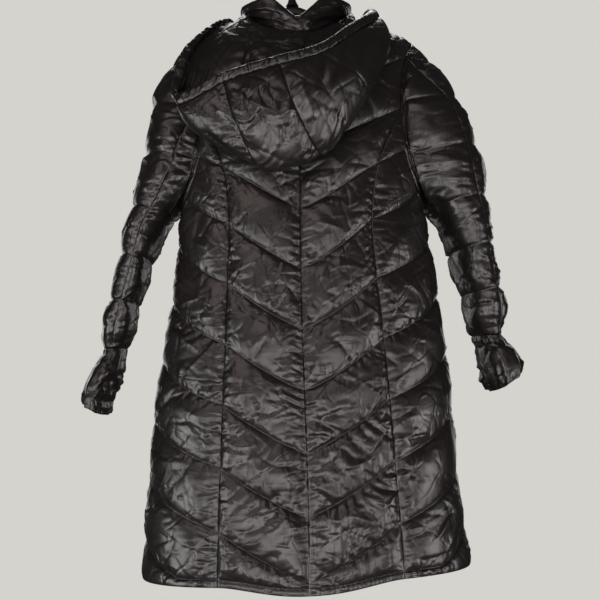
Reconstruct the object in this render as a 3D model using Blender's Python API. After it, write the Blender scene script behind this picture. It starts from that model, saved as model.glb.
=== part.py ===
"""Long puffer coat with a hood, hanging from a plain hanger.

Metres, +Z up. The origin is the point that the hanger's hook hangs from. The back of the coat
faces -Y and its zip faces +Y. Left and right are as seen from behind.

Each panel is a closed wall. A panel's seam surface is worked out from the tables below. The wall's
plain inside lies WALL under it, and its outside rises from it in a puff between quilting lines.
"""

import math
from collections import namedtuple

import bpy
import numpy as np

GAP = 0.0003  # between two sewn pieces
WALL = 0.003  # shell, thin padding and lining where they are sewn down
PUFF = 0.009  # how far the padding rises between two quilting lines
ROUND = 2.4  # how square the body's cross-section is; 2 would be an ellipse

# The body's seam surface, as horizontal sections. left and right are its sides, back and front its depths.
Section = namedtuple("Section", "z left right back front")
BODY = (
    Section(-0.985, -0.258, 0.241, 0.122, 0.119),
    Section(-0.931, -0.249, 0.231, 0.120, 0.117),
    Section(-0.879, -0.244, 0.225, 0.118, 0.115),
    Section(-0.817, -0.239, 0.222, 0.116, 0.113),
    Section(-0.760, -0.234, 0.220, 0.113, 0.111),
    Section(-0.702, -0.226, 0.218, 0.111, 0.109),
    Section(-0.609, -0.209, 0.210, 0.108, 0.106),
    Section(-0.514, -0.192, 0.201, 0.106, 0.103),
    Section(-0.405, -0.185, 0.192, 0.104, 0.101),
    Section(-0.250, -0.184, 0.196, 0.096, 0.094),
    Section(-0.200, -0.184, 0.198, 0.084, 0.084),
    Section(-0.158, -0.184, 0.198, 0.068, 0.076),
    Section(-0.100, -0.184, 0.198, 0.050, 0.056),
)

# The centre seam's x, and how far from it the princess seams and the armholes run on each side.
Seam = namedtuple("Seam", "z centre left right")
PRINCESS = (
    Seam(-0.985, -0.012, 0.127, 0.135),
    Seam(-0.860, -0.009, 0.124, 0.128),
    Seam(-0.780, -0.008, 0.120, 0.124),
    Seam(-0.700, -0.008, 0.115, 0.121),
    Seam(-0.610, -0.008, 0.109, 0.116),
    Seam(-0.541, -0.007, 0.106, 0.110),
    Seam(-0.455, -0.005, 0.103, 0.105),
    Seam(-0.395, -0.003, 0.107, 0.110),
    Seam(-0.346, -0.002, 0.118, 0.124),
    Seam(-0.310, -0.001, 0.131, 0.140),
    Seam(-0.277, -0.001, 0.146, 0.157),
)
ARMHOLE = (
    Seam(-0.405, -0.003, 0.182, 0.195),
    Seam(-0.390, -0.003, 0.172, 0.186),
    Seam(-0.360, -0.002, 0.158, 0.171),
    Seam(-0.320, -0.001, 0.149, 0.161),
    Seam(-0.277, -0.001, 0.146, 0.157),
    Seam(-0.215, 0.001, 0.152, 0.162),
    Seam(-0.180, 0.003, 0.163, 0.172),
    Seam(-0.150, 0.004, 0.176, 0.186),
)
CORNER = -0.277  # height where the princess seam leaves the armhole
ARMPIT = -0.405
SHOULDER_TIP = -0.150

# The shoulder seam, by its distance from the centre as a share of the shoulder's reach.
Ridge = namedtuple("Ridge", "share z")
SHOULDER = (
    Ridge(0.00, -0.093),
    Ridge(0.41, -0.120),
    Ridge(0.76, -0.130),
    Ridge(0.89, -0.138),
    Ridge(1.00, -0.150),
)
NECK_SHARE = 0.41
REACH = {"left": 0.176, "right": 0.186}
NECK_CENTRE = 0.004
NECK_DIP = {"back": -0.158, "front": -0.195}
ROLL = 0.075  # height over which the shoulder rounds from back to front

HEM = {"centre": -0.974, "princess": -0.960, "side": -0.962}
QUILT_TOP = -0.434  # centre height of quilting line 0; the lines below it follow every QUILT_PITCH
QUILT_PITCH = 0.087
QUILT_RISE = {"centre": 0.070, "side": 0.075}  # how far a line climbs across each panel
HEM_BAND = 0.010
SQUEEZE = 0.012  # least height of a quilted block that the armhole cuts short
BLOCK_ROWS = 3
SHOULDER_ROWS = 4
SHOULDER_PUFF = 0.6  # share of the puff left in the block that the neckline and shoulder seam cut

# The sleeves' seam surface, as horizontal sections: outer and inner edges, half depth and middle in Y.
Arm = namedtuple("Arm", "z outer inner depth middle")
SLEEVE = {
    "left": (
        Arm(-0.735, -0.338, -0.308, 0.058, 0.016),
        Arm(-0.705, -0.339, -0.304, 0.060, 0.016),
        Arm(-0.680, -0.333, -0.295, 0.057, 0.015),
        Arm(-0.655, -0.323, -0.285, 0.050, 0.014),
        Arm(-0.622, -0.308, -0.276, 0.042, 0.013),
        Arm(-0.600, -0.307, -0.270, 0.050, 0.012),
        Arm(-0.540, -0.291, -0.252, 0.061, 0.010),
        Arm(-0.493, -0.279, -0.236, 0.066, 0.008),
        Arm(-0.450, -0.269, -0.220, 0.070, 0.006),
        Arm(-0.405, -0.257, -0.184, 0.074, 0.004),
        Arm(-0.350, -0.240, -0.150, 0.078, 0.002),
        Arm(-0.300, -0.230, -0.138, 0.078, 0.001),
        Arm(-0.250, -0.222, -0.132, 0.073, 0.000),
        Arm(-0.200, -0.206, -0.140, 0.060, 0.000),
        Arm(-0.165, -0.191, -0.158, 0.036, 0.000),
        Arm(-0.140, -0.177, -0.164, 0.010, 0.000),
    ),
    "right": (
        Arm(-0.735, 0.329, 0.297, 0.060, 0.016),
        Arm(-0.700, 0.332, 0.288, 0.060, 0.016),
        Arm(-0.676, 0.334, 0.283, 0.057, 0.015),
        Arm(-0.650, 0.325, 0.277, 0.050, 0.014),
        Arm(-0.622, 0.308, 0.268, 0.042, 0.013),
        Arm(-0.585, 0.314, 0.259, 0.052, 0.012),
        Arm(-0.540, 0.306, 0.252, 0.060, 0.010),
        Arm(-0.490, 0.299, 0.238, 0.065, 0.008),
        Arm(-0.448, 0.296, 0.224, 0.070, 0.006),
        Arm(-0.405, 0.291, 0.192, 0.074, 0.004),
        Arm(-0.350, 0.285, 0.166, 0.078, 0.002),
        Arm(-0.300, 0.272, 0.152, 0.078, 0.001),
        Arm(-0.250, 0.253, 0.146, 0.073, 0.000),
        Arm(-0.200, 0.230, 0.154, 0.060, 0.000),
        Arm(-0.165, 0.208, 0.172, 0.036, 0.000),
        Arm(-0.140, 0.190, 0.178, 0.010, 0.000),
    ),
}
SLEEVE_LINES = (-0.622, -0.553, -0.485, -0.415, -0.338, -0.262, -0.192)
SLEEVE_ROWS = (3, 3, 3, 3, 2, 2, 2)
SLEEVE_PART = sum(SLEEVE_ROWS[:3])  # the row, on a quilting line, where a sleeve piece's solid is parted in two
SLEEVE_SQUEEZE = 0.007
SLEEVE_TILT = 0.20  # the lines lie square to the sleeve, so they rise towards its outer edge
SLEEVE_BLEND = 0.090  # length over which the sleeve takes up the armhole's shape
SLEEVE_SEAMS = {"left": (-95, 100), "right": (-58, 105)}  # back and front seams, in degrees
CUFF_END = {"left": (-0.713, 0.010), "right": (-0.694, 0.015)}  # height, and how much its outer edge lifts
CUFF_WAVES = 10
CUFF_WAVE = 0.0020

# The stand collar, by its place on the neck seam: 0 at the front edge, 1 at the shoulder, 2 at centre back.
Stand = namedtuple("Stand", "place height lean")
COLLAR = (
    Stand(0.0, 0.040, 0.002),
    Stand(0.5, 0.040, 0.006),
    Stand(1.0, 0.032, 0.014),
    Stand(1.3, 0.044, 0.012),
    Stand(1.5, 0.051, 0.008),
    Stand(1.75, 0.040, 0.003),
    Stand(2.0, 0.027, 0.000),
)
COLLAR_PUFF = 0.007
COLLAR_RISE = (0.0, 0.28, 0.8, 0.95, 0.3)  # share of the puff from the collar's base to its top

# The hood, as lines from the neck seam down its inner layer, round the fold and up to the rim, in mm.
# share places the line's start on the neckline, from 0 at the centre to 1 at the shoulder seam, and root
# is how far the line stands off the body just behind it.
Line = namedtuple("Line", "face side share root inner fold outer rim")
HOOD = (
    Line("front", "left", 0.91, 6, (-78, 24, -115), (-84, 21, -113), (-88, 18, -112), (-92, 15, -111)),
    Line("back", "left", 0.99, 6, (-88, -6, -115), (-97, -13, -115), (-103, -18, -115), (-108, -22, -115)),
    Line("back", "left", 0.84, 11, (-95, -54, -136), (-122, -68, -153), (-132, -73, -156), (-137, -70, -152)),
    Line("back", "left", 0.65, 11, (-102, -86, -168), (-148, -106, -214), (-161, -113, -213), (-172, -111, -207)),
    Line("back", "left", 0.45, 11, (-94, -104, -200), (-150, -126, -300), (-166, -145, -298), (-175, -142, -272)),
    Line("back", "left", 0.25, 11, (-80, -112, -220), (-62, -137, -373), (-92, -174, -322), (-108, -164, -253)),
    Line("back", "right", 0.00, 11, (-38, -114, -228), (-18, -138, -376), (-52, -180, -316), (-70, -167, -242)),
    Line("back", "right", 0.25, 11, (6, -113, -224), (26, -136, -361), (-12, -181, -304), (-32, -168, -232)),
    Line("back", "right", 0.50, 11, (46, -109, -206), (66, -133, -319), (44, -172, -272), (27, -160, -213)),
    Line("back", "right", 0.70, 11, (78, -97, -178), (104, -124, -256), (93, -150, -222), (72, -138, -177)),
    Line("back", "right", 0.87, 11, (97, -68, -142), (132, -90, -180), (128, -106, -166), (107, -98, -141)),
    Line("back", "right", 0.99, 6, (97, -14, -117), (113, -24, -120), (119, -33, -115), (115, -36, -107)),
    Line("front", "right", 0.91, 6, (92, 24, -115), (98, 21, -113), (102, 18, -112), (106, 14, -111)),
)
HOOD_SEAMS = (5, 7)  # the lines where the centre strip meets the hood's sides
HOOD_COLUMNS = (13, 4, 12)  # across the left side, the strip and the right side
HOOD_ROWS = 14
HOOD_PUFF = 0.004
CASING = 0.012  # width of the gathered strip along the rim
CASING_GAP = 0.0014
CASING_WAVE = 0.0030

ZIP_HALF = 0.007  # from the centre line to the front edge
ZIP_SLIDER = -0.300
ZIP_SPREAD = 0.17  # how fast the fronts part above the slider
TAPE = 0.0012
TAB = (0.0048, 0.026, 0.0012)  # the pull tab's width, length and thickness

HANGER_TOP = -0.082
HANGER_END = {"left": -0.150, "right": 0.165}
HOOK_RADIUS = 0.021
HOOK_ROD = 0.0019

COLOURS = {
    "shell_nylon": ((0.012, 0.011, 0.012), 0.34, 0.0),
    "zip_tape": ((0.010, 0.010, 0.011), 0.80, 0.0),
    "zip_metal": ((0.030, 0.030, 0.032), 0.38, 1.0),
    "hanger_plastic": ((0.008, 0.008, 0.008), 0.42, 0.0),
    "hook_steel": ((0.020, 0.020, 0.022), 0.35, 1.0),
}


def smooth(xs, ys, at):
    """A monotone cubic through the points xs, ys, with xs rising."""
    xs, ys, at = (np.asarray(v, float) for v in (xs, ys, at))
    step = np.diff(xs)
    slope = np.diff(ys) / step
    bend = np.zeros_like(ys)
    same = slope[1:] * slope[:-1] > 0
    mean = 2 * slope[1:] * slope[:-1] / np.where(same, slope[1:] + slope[:-1], 1)
    bend[1:-1] = np.where(same, mean, 0)
    bend[0], bend[-1] = slope[0], slope[-1]
    i = np.clip(np.searchsorted(xs, at) - 1, 0, len(step) - 1)
    t = np.clip((at - xs[i]) / step[i], 0, 1)
    low = ys[i] * (1 + 2 * t) + step[i] * bend[i] * t
    high = ys[i + 1] * (3 - 2 * t) + step[i] * bend[i + 1] * (t - 1)
    return low * (1 - t) ** 2 + high * t**2


def column(table, name, at, key="z"):
    return smooth([getattr(row, key) for row in table], [getattr(row, name) for row in table], at)


def sign(side):
    return -1 if side == "left" else 1


def signed_power(value, power):
    return np.sign(value) * np.abs(value) ** power


def unit(vectors):
    length = np.linalg.norm(vectors, axis=-1, keepdims=True)
    return vectors / np.maximum(length, 1e-12)


def stack(x, y, z):
    return np.stack(np.broadcast_arrays(x, y, z), axis=-1).astype(float)


# The body


def middle_and_half(z):
    left, right = column(BODY, "left", z), column(BODY, "right", z)
    return (left + right) / 2, (right - left) / 2


def shoulder(x):
    """Height of the shoulder seam's ridge over x."""
    out = np.asarray(x, float) - NECK_CENTRE
    share = np.where(out < 0, -out / REACH["left"], out / REACH["right"])
    return column(SHOULDER, "z", np.minimum(share, 1), "share")


def angle_at(x, z):
    """The section angle that gives x at height z: -90 degrees at the left side, 90 at the right."""
    middle, half = middle_and_half(z)
    share = np.clip((x - middle) / half, -1, 1)
    return np.arcsin(signed_power(share, ROUND / 2))


def body_point(angle, z, face):
    middle, half = middle_and_half(z)
    x = middle + half * signed_power(np.sin(angle), 2 / ROUND)
    over = np.clip((shoulder(x) - z) / ROLL, 0, 1)
    depth = column(BODY, face, z) * signed_power(np.cos(angle), 2 / ROUND)
    y = depth * np.sqrt(1 - (1 - over) ** 2)
    return stack(x, -y if face == "back" else y, z)


def body_normal(angle, z, face):
    small = 2e-4
    across = body_point(angle + small, z, face) - body_point(angle - small, z, face)
    up = body_point(angle, z, face) - body_point(angle, z - small, face)
    normal = unit(np.cross(across, up))
    if face == "front":
        normal = -normal
    point = body_point(angle, z, face)
    x = point[..., 0]
    slope = (shoulder(x + small) - shoulder(x - small)) / (2 * small)
    ridge = unit(stack(-slope, 0 * slope, 1 + 0 * slope))
    near = np.clip(1 - (shoulder(x) - z) / 0.0015, 0, 1)[..., None]
    return unit(normal * (1 - near) + ridge * near)


def edge_x(table, side, z):
    return column(table, "centre", z) + sign(side) * column(table, side, z)


def outer_edge(side, z):
    """x of the centre panel's outer edge: the princess seam and, above the corner, the armhole."""
    return np.where(z > CORNER, edge_x(ARMHOLE, side, z), edge_x(PRINCESS, side, z))


def centre_x(z):
    low, high = column(PRINCESS, "centre", z), column(ARMHOLE, "centre", z)
    return np.where(z > CORNER, high, low)


def front_opening(z):
    """Half the width between the front edges, which part above the zip's slider."""
    return ZIP_HALF + ZIP_SPREAD * np.maximum(z - ZIP_SLIDER - 0.012, 0)


def inner_edge(face, side, z):
    half = GAP / 2 if face == "back" else front_opening(z)
    return centre_x(z) + sign(side) * half


def neckline(face, side, share):
    """Height of the neckline at a share of the way from the centre to the shoulder seam."""
    top = SHOULDER[1].z
    return NECK_DIP[face] + (top - NECK_DIP[face]) * np.asarray(share, float) ** 2


def centre_top(face, side, across):
    """Height of a centre panel's top edge, which is the neckline and then the shoulder seam."""
    z = np.full_like(across, SHOULDER_TIP)
    for _ in range(30):
        start = angle_at(inner_edge(face, side, z), z)
        end = angle_at(outer_edge(side, z), z)
        x = body_point(start + (end - start) * across, z, face)[..., 0]
        share = np.abs(x - NECK_CENTRE) / (NECK_SHARE * REACH[side])
        z = np.where(share < 1, neckline(face, side, np.minimum(share, 1)), shoulder(x))
    return z


def side_top(side, across):
    """Height of a side panel's top edge, which is the armhole's lower part."""
    z = np.linspace(CORNER, ARMPIT, 60)
    start = np.abs(angle_at(edge_x(PRINCESS, side, np.minimum(z, CORNER)), z))
    here = np.abs(angle_at(edge_x(ARMHOLE, side, z), z))
    share = (here - start) / (math.pi / 2 - start)
    share[-1] = 1.0
    return np.interp(across, np.maximum.accumulate(share), z)


def quilt_line(number, across, panel):
    rise = QUILT_RISE["centre"] * across
    if panel == "side":
        rise = QUILT_RISE["centre"] + QUILT_RISE["side"] * across
    return QUILT_TOP - QUILT_PITCH * number + rise


def hem(across, panel):
    ends = ("centre", "princess") if panel == "centre" else ("princess", "side")
    ease = across * across * (3 - 2 * across)
    return HEM[ends[0]] + (HEM[ends[1]] - HEM[ends[0]]) * ease


def blocks(levels, steps):
    """Rows through the levels, and how high the padding stands on each of them."""
    rows, rise = [levels[0]], [0 * levels[0]]
    for low, high, count in zip(levels, levels[1:], steps):
        puff = np.minimum(PUFF, 0.11 * (high - low))
        for k in range(1, count + 1):
            t = k / count
            rows.append(low + (high - low) * t)
            rise.append(puff * max(math.sin(math.pi * t), 0) ** 0.6)
    return np.array(rows), np.array(rise)


def seam_fade(share, width):
    """0 at both edges of a panel and near 1 between them."""
    near = np.minimum(share, 1 - share) * width
    return 1 - np.exp(-near / 0.010)


def neck_share(face, side):
    """The share of a centre panel's width where the neckline meets the shoulder seam."""
    across = np.linspace(0, 1, 200)
    z = centre_top(face, side, across)
    start = angle_at(inner_edge(face, side, z), z)
    end = angle_at(outer_edge(side, z), z)
    x = body_point(start + (end - start) * across, z, face)[..., 0]
    return np.interp(NECK_SHARE * REACH[side], np.abs(x - NECK_CENTRE), across)


def body_levels(face, side, panel):
    """The columns of a body panel, and the heights and puff of its rows along them."""
    if panel == "centre":
        neck = neck_share(face, side)
        across = np.array([0, neck / 3, neck * 2 / 3, neck, 0.6, 0.8, 1.0])
        top = centre_top(face, side, across)
        numbers = range(6, -3, -1)
    else:
        across = np.array([0, 0.2, 0.4, 0.6, 0.8, 1.0])
        top = side_top(side, across)
        numbers = range(6, -1, -1)
    low = hem(across, panel)
    levels = [low, np.maximum(quilt_line(7, across, panel), low + HEM_BAND)]
    for number in numbers:
        ceiling = top - SQUEEZE * (1 + number - numbers[-1])
        levels.append(np.minimum(quilt_line(number, across, panel), ceiling))
    levels.append(top)
    last = SHOULDER_ROWS if panel == "centre" else BLOCK_ROWS
    z, rise = blocks(levels, [1] + [BLOCK_ROWS] * (len(levels) - 3) + [last])
    if panel == "centre":  # closer rows where the shoulder turns over
        ease = 1 - (1 - np.arange(1, last + 1) / last)[:, None] ** 1.7
        z[-last:] = levels[-2] + (levels[-1] - levels[-2]) * ease
        rise[-last:] *= SHOULDER_PUFF * (1 - np.exp((z[-last:] - top) / 0.016))
    return across, z, rise


def body_panel(face, side, panel):
    """The outer and inner grids of one of the eight body panels."""
    across, z, rise = body_levels(face, side, panel)
    if panel == "centre":
        start = angle_at(inner_edge(face, side, z), z)
        end = angle_at(outer_edge(side, z) - sign(side) * GAP / 2, z)
    else:
        start = angle_at(edge_x(PRINCESS, side, np.minimum(z, CORNER)) + sign(side) * GAP / 2, z)
        slip = (GAP / 2 / column(BODY, face, z)) ** (ROUND / 2)
        end = sign(side) * (math.pi / 2 - slip)
        z[-1] -= GAP
    angle = start + (end - start) * across
    base = body_point(angle, z, face)
    normal = body_normal(angle, z, face)
    rise = rise * seam_fade(across, 0.12 if panel == "centre" else 0.14)
    outer = base + normal * rise[..., None]
    inner = base - normal * WALL
    way = -1 if face == "back" else 1
    for grid in (outer, inner):  # the two halves stop short of the shoulder and side seams
        grid[..., 1] = way * np.maximum(way * grid[..., 1], GAP / 2)
    return outer, inner


# The sleeves


def arm_top(turn):
    """Height of the armhole seam at an angle round the sleeve, 0 at the shoulder and 180 at the armpit."""
    return ARMPIT + (SHOULDER_TIP - ARMPIT) * np.abs(np.cos(turn / 2)) ** 1.2


def arm_turns(side):
    """Angles from the armpit, round the back and the shoulder, to the armpit, one for each point of the
    body's armhole."""
    _, centre, _ = body_levels("back", side, "centre")
    _, low, _ = body_levels("back", side, "side")
    z = centre[:, -1]
    heights = np.concatenate([z[z > CORNER + 0.001][::-1], low[-1]])
    share = np.clip((heights - ARMPIT) / (SHOULDER_TIP - ARMPIT), 0, 1)
    turn = 2 * np.arccos(share ** (1 / 1.2))
    return np.concatenate([-turn[::-1], turn[1:]])


def arm_ring(side, turn):
    """The armhole seam itself, and the body's normal along it."""
    z = arm_top(turn)
    x = edge_x(ARMHOLE, side, z)
    angle = angle_at(x, z)
    point, normal = np.empty(turn.shape + (3,)), np.empty(turn.shape + (3,))
    for face, here in (("back", turn < 0), ("front", turn >= 0)):
        point[here] = body_point(angle[here], z[here], face)
        normal[here] = body_normal(angle[here], z[here], face)
    point[..., 0] += sign(side) * GAP
    return point, normal


def arm_section(side, turn, z):
    table = SLEEVE[side]
    outer, inner = column(table, "outer", z), column(table, "inner", z)
    x = (outer + inner) / 2 + (outer - inner) / 2 * signed_power(np.cos(turn), 0.9)
    y = column(table, "middle", z) + column(table, "depth", z) * signed_power(np.sin(turn), 0.9)
    return stack(x, y, z)


def arm_point(side, turn, z):
    turn = (turn + math.pi) % (2 * math.pi) - math.pi
    top = arm_top(turn)
    ring, _ = arm_ring(side, turn)
    near = np.clip(1 - (top - z) / SLEEVE_BLEND, 0, 1)
    near = near * near * (3 - 2 * near)
    return arm_section(side, turn, z) + (ring - arm_section(side, turn, top)) * near[..., None]


def arm_normal(side, turn, z):
    small = 1e-3
    around = arm_point(side, turn + small, z) - arm_point(side, turn - small, z)
    up = arm_point(side, turn, z) - arm_point(side, turn, z - small)
    return unit(np.cross(around, up)) * sign(side)


def sleeve_panel(side, piece):
    """The outer and inner grids of a sleeve piece, from the wrist to the armhole."""
    turns = arm_turns(side)
    back, front = (int(np.abs(turns - math.radians(a)).argmin()) for a in SLEEVE_SEAMS[side])
    if piece == "top":
        turn = turns[back : front + 1].copy()
    else:
        turn = np.concatenate([turns[front:], turns[1 : back + 1] + 2 * math.pi])
    slip = GAP / 2 / 0.055
    turn[0] += slip
    turn[-1] -= slip
    top = arm_top(turn)
    levels = []
    for k, line in enumerate(SLEEVE_LINES):
        outer, inner = column(SLEEVE[side], "outer", line), column(SLEEVE[side], "inner", line)
        tilt = 0 if k == 0 else SLEEVE_TILT * abs(outer - inner) / 2
        ceiling = top - SLEEVE_SQUEEZE * (len(SLEEVE_LINES) - k)
        levels.append(np.minimum(line + tilt * np.cos(turn), ceiling))
    levels[0] = levels[0] + GAP
    levels.append(top)
    z, rise = blocks(levels, SLEEVE_ROWS)
    turns = np.broadcast_to(turn, z.shape)
    base = arm_point(side, turns, z)
    normal = arm_normal(side, turns, z)
    _, torso = arm_ring(side, (turn + math.pi) % (2 * math.pi) - math.pi)
    agree = np.clip(((normal[-1] * torso).sum(axis=-1) + 0.2) / 0.7, 0, 1)[:, None]
    normal[-1] = unit(normal[-1] * (1 - agree) + torso * agree)
    share = (turn - turn[0]) / (turn[-1] - turn[0])
    rise = rise * seam_fade(share, 0.17 if piece == "top" else 0.12)
    return base + normal * rise[..., None], base - normal * WALL


def parted(grids, row):
    """The lower and the upper part of a panel's grids, with the gap between them."""
    lower, upper = [], []
    for grid in grids:
        below, above = grid[: row + 1].copy(), grid[row:].copy()
        below[-1] += unit(below[-2] - below[-1]) * GAP / 2
        above[0] += unit(above[1] - above[0]) * GAP / 2
        lower.append(below)
        upper.append(above)
    return lower, upper


def cuff(side):
    """The ruffle below the gathered wrist, all round."""
    height, lift = CUFF_END[side]
    columns = CUFF_WAVES * 4
    turn = np.arange(columns) * 2 * math.pi / columns - math.pi
    start = np.full(columns, SLEEVE_LINES[0] - GAP)
    end = height + lift * np.cos(turn)
    share = np.linspace(0, 1, 4)[:, None]
    z = end + (start - end) * share
    turns = np.broadcast_to(turn, z.shape)
    base = arm_section(side, turns, z)
    small = 1e-3
    around = arm_section(side, turns + small, z) - arm_section(side, turns - small, z)
    up = arm_section(side, turns, z) - arm_section(side, turns, z - small)
    normal = unit(np.cross(around, up)) * sign(side)
    wave = np.sin(turn * CUFF_WAVES + 0.8) * CUFF_WAVE * (1 - share) ** 0.5
    puff = 0.004 * np.sin(math.pi * share) ** 0.7
    base = base + normal * wave[..., None]
    return base + normal * (puff + 0 * z)[..., None], base - normal * WALL * 0.8


# The collar and the hood


def neck_point(face, side, share):
    """A point of the neck seam."""
    z = neckline(face, side, share)
    x = NECK_CENTRE + sign(side) * np.asarray(share, float) * NECK_SHARE * REACH[side]
    return body_point(angle_at(x, z), z, face)


def collar_base():
    """The neck seam from the left front edge, round the back, to the right front edge, with its place at
    each point. It lies along the straight stretches of the body's top edge."""
    quarter = {}
    for face in ("back", "front"):
        for side in ("left", "right"):
            quarter[face, side] = body_panel(face, side, "centre")[0][-1, :4]
    points = list(quarter["front", "left"]) + list(quarter["back", "left"][2::-1])
    points += list(quarter["back", "right"][1:]) + list(quarter["front", "right"][2::-1])
    points = np.array(points)
    points[6, 0] = centre_x(points[6, 2])
    place = 2 - np.abs(np.arange(13) - 6) / 3
    at = np.linspace(0, 12, 37)
    return np.stack([np.interp(at, range(13), points[:, k]) for k in range(3)], 1), np.interp(at, range(13), place)


def collar():
    base, place = collar_base()
    tangent = unit(np.gradient(base, axis=0) * (1, 1, 0))
    tangent = unit(tangent + 0.5 * np.roll(tangent, 1, axis=0) * (place[:, None] > 0.1))
    out = unit(np.cross(tangent, (0, 0, 1.0)))
    share = np.linspace(0, 1, len(COLLAR_RISE))[:, None]
    rise = column(COLLAR, "height", place, "place") * share
    lean = column(COLLAR, "lean", place, "place") * share**2.4
    grid = base + stack(0 * rise, 0 * rise, rise + GAP) + out * lean[..., None]
    ends = seam_fade(np.linspace(0, 1, len(base)), 0.4)
    puff = COLLAR_PUFF * np.array(COLLAR_RISE)[:, None] * ends
    return grid + out * puff[..., None], grid - out * WALL


def catmull(points, t):
    """A smooth curve through the points at t, counted in points; the last axis but one holds them."""
    last = len(points) - 1
    i = np.clip(np.floor(t).astype(int), 0, last - 1)
    f = (t - i)[..., None]
    before, after = np.maximum(i - 1, 0), np.minimum(i + 2, last)
    a, b, c, d = points[before], points[i], points[i + 1], points[after]
    bend = (c - a) / 2, (d - b) / 2
    low = b * (1 + 2 * f) + bend[0] * f
    high = c * (3 - 2 * f) + bend[1] * (f - 1)
    return low * (1 - f) ** 2 + high * f**2


def hood_lines():
    """Six points on each of the hood's lines: neck, root, inner layer, fold, outer layer, rim."""
    rows = []
    for line in HOOD:
        neck = neck_point(line.face, line.side, line.share)
        away = unit((neck - (NECK_CENTRE, 0, neck[2])) * (1, 1, 0))
        neck = neck + away * 0.0055 + np.array([0, 0, 0.0040])
        inner, fold, outer, rim = (np.array(p) * 0.001 for p in (line.inner, line.fold, line.outer, line.rim))
        angle = angle_at(neck[0], neck[2])
        lift = unit(body_normal(angle, neck[2], line.face) + np.array([0, 0, 0.6]))
        root = neck + (inner - neck) * 0.38 + lift * line.root * 0.001
        rows.append([neck, root, inner, fold, outer, rim])
    return np.array(rows)


def hood_point(lines, across, along):
    """A point of the hood: across counts its lines, and along runs from 0 at the neck to 1 at the rim."""
    across, along = np.broadcast_arrays(across, along)
    flat = across.ravel()
    found = np.stack([catmull(lines[:, k], flat) for k in range(lines.shape[1])])
    t = along.ravel() * (lines.shape[1] - 1)
    out = np.empty((len(flat), 3))
    for k in range(len(flat)):
        out[k] = catmull(found[:, k], t[k : k + 1])[0]
    return out.reshape(across.shape + (3,))


def hood_normal(lines, across, along):
    small = 1e-3
    low, high = np.maximum(across - small, 0), np.minimum(across + small, len(lines) - 1)
    left, right = hood_point(lines, low, along), hood_point(lines, high, along)
    down = hood_point(lines, across, np.maximum(along - small, 0))
    up = hood_point(lines, across, np.minimum(along + small, 1))
    return unit(np.cross(up - down, right - left))


def hood_columns(lines):
    """Where the columns of the left side, the strip and the right side lie, counted in lines."""
    slip = 0.002
    first, second = HOOD_SEAMS
    left, strip, right = HOOD_COLUMNS
    return (
        np.linspace(0, first - slip, left + 1),
        np.linspace(first + slip, second - slip, strip + 1),
        np.linspace(second + slip, len(lines) - 1, right + 1),
    )


def casing_start(lines, columns):
    """Where the casing starts on each line."""
    end = hood_point(lines, columns, np.array([1.0]))
    near = np.linalg.norm(end - hood_point(lines, columns, np.array([0.9])), axis=-1)
    return 1 - 0.1 * np.minimum(CASING / near, 2.5)


def hood_panel(lines, columns):
    rows = np.linspace(0, 1, HOOD_ROWS + 1)[:, None]
    along = rows * casing_start(lines, columns)
    base = hood_point(lines, columns, along)
    normal = hood_normal(lines, columns, along)
    base[-1] += unit(base[-2] - base[-1]) * CASING_GAP
    share = (columns - columns[0]) / (columns[-1] - columns[0])
    swell = np.sin(math.pi * np.clip((rows - 0.14) / 0.86, 0, 1))
    rise = HOOD_PUFF * seam_fade(share, 0.15) * np.maximum(swell, 0) ** 0.5
    return base + normal * rise[..., None], base - normal * WALL


def hood_casing(lines):
    """The gathered strip along the rim. Its columns lie on the straight stretches between the hood's."""
    columns = np.concatenate(hood_columns(lines))
    share = np.linspace(0, 1, 3)[:, None]
    start = casing_start(lines, columns)
    along = start + (1 - start) * share
    base = hood_point(lines, columns, along)
    normal = hood_normal(lines, columns, along)
    at = np.linspace(0, len(columns) - 1, 2 * len(columns) - 1)
    low = np.floor(at).astype(int)
    high = np.minimum(low + 1, len(columns) - 1)
    part = (at - low)[:, None]
    base = base[:, low] * (1 - part) + base[:, high] * part
    normal = unit(normal[:, low] * (1 - part) + normal[:, high] * part)
    wave = CASING_WAVE * (np.arange(len(at)) % 2)
    rise = (0.0012 + wave) * np.sin(math.pi * share) ** 0.5
    return base + normal * rise[..., None], base - normal * WALL


# The zip


def front_edge(side):
    """The middle of the wall along the front edge, from the hem to the neck and up the collar."""
    outer, inner = body_panel("front", side, "centre")
    body = (outer + inner)[1:, 0] / 2
    outer, inner = collar()
    end = (outer + inner)[:, 0 if side == "left" else -1] / 2
    return body, end


def zip_tape(side):
    """A strip beside the front edge, running on up the collar."""
    way = -sign(side)
    path = np.vstack(front_edge(side))
    near = path + np.array([way * GAP, 0, 0])
    far = near + np.array([way * (ZIP_HALF - GAP - 0.0004), 0, 0])
    front = np.stack([near, far], axis=1) + np.array([0, TAPE / 2, 0])
    back = np.stack([near, far], axis=1) - np.array([0, TAPE / 2, 0])
    return front, back


def zip_place():
    z = np.array([ZIP_SLIDER])
    x = centre_x(z)
    point = body_point(angle_at(x, z), z, "front")[0]
    return point + np.array([0, -WALL / 2 + TAPE / 2 + GAP, 0])


# Building


def make_object(name, points, faces, material):
    mesh = bpy.data.meshes.new(name)
    mesh.from_pydata([tuple(p) for p in points], [], [tuple(f) for f in faces])
    mesh.materials.append(material)
    mesh.polygons.foreach_set("use_smooth", [True] * len(mesh.polygons))
    mesh.update()
    obj = bpy.data.objects.new(name, mesh)
    bpy.context.scene.collection.objects.link(obj)
    return obj


def volume(points, faces):
    total = 0.0
    for face in faces:
        for k in range(1, len(face) - 1):
            total += np.dot(points[face[0]], np.cross(points[face[k]], points[face[k + 1]]))
    return total


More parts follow.
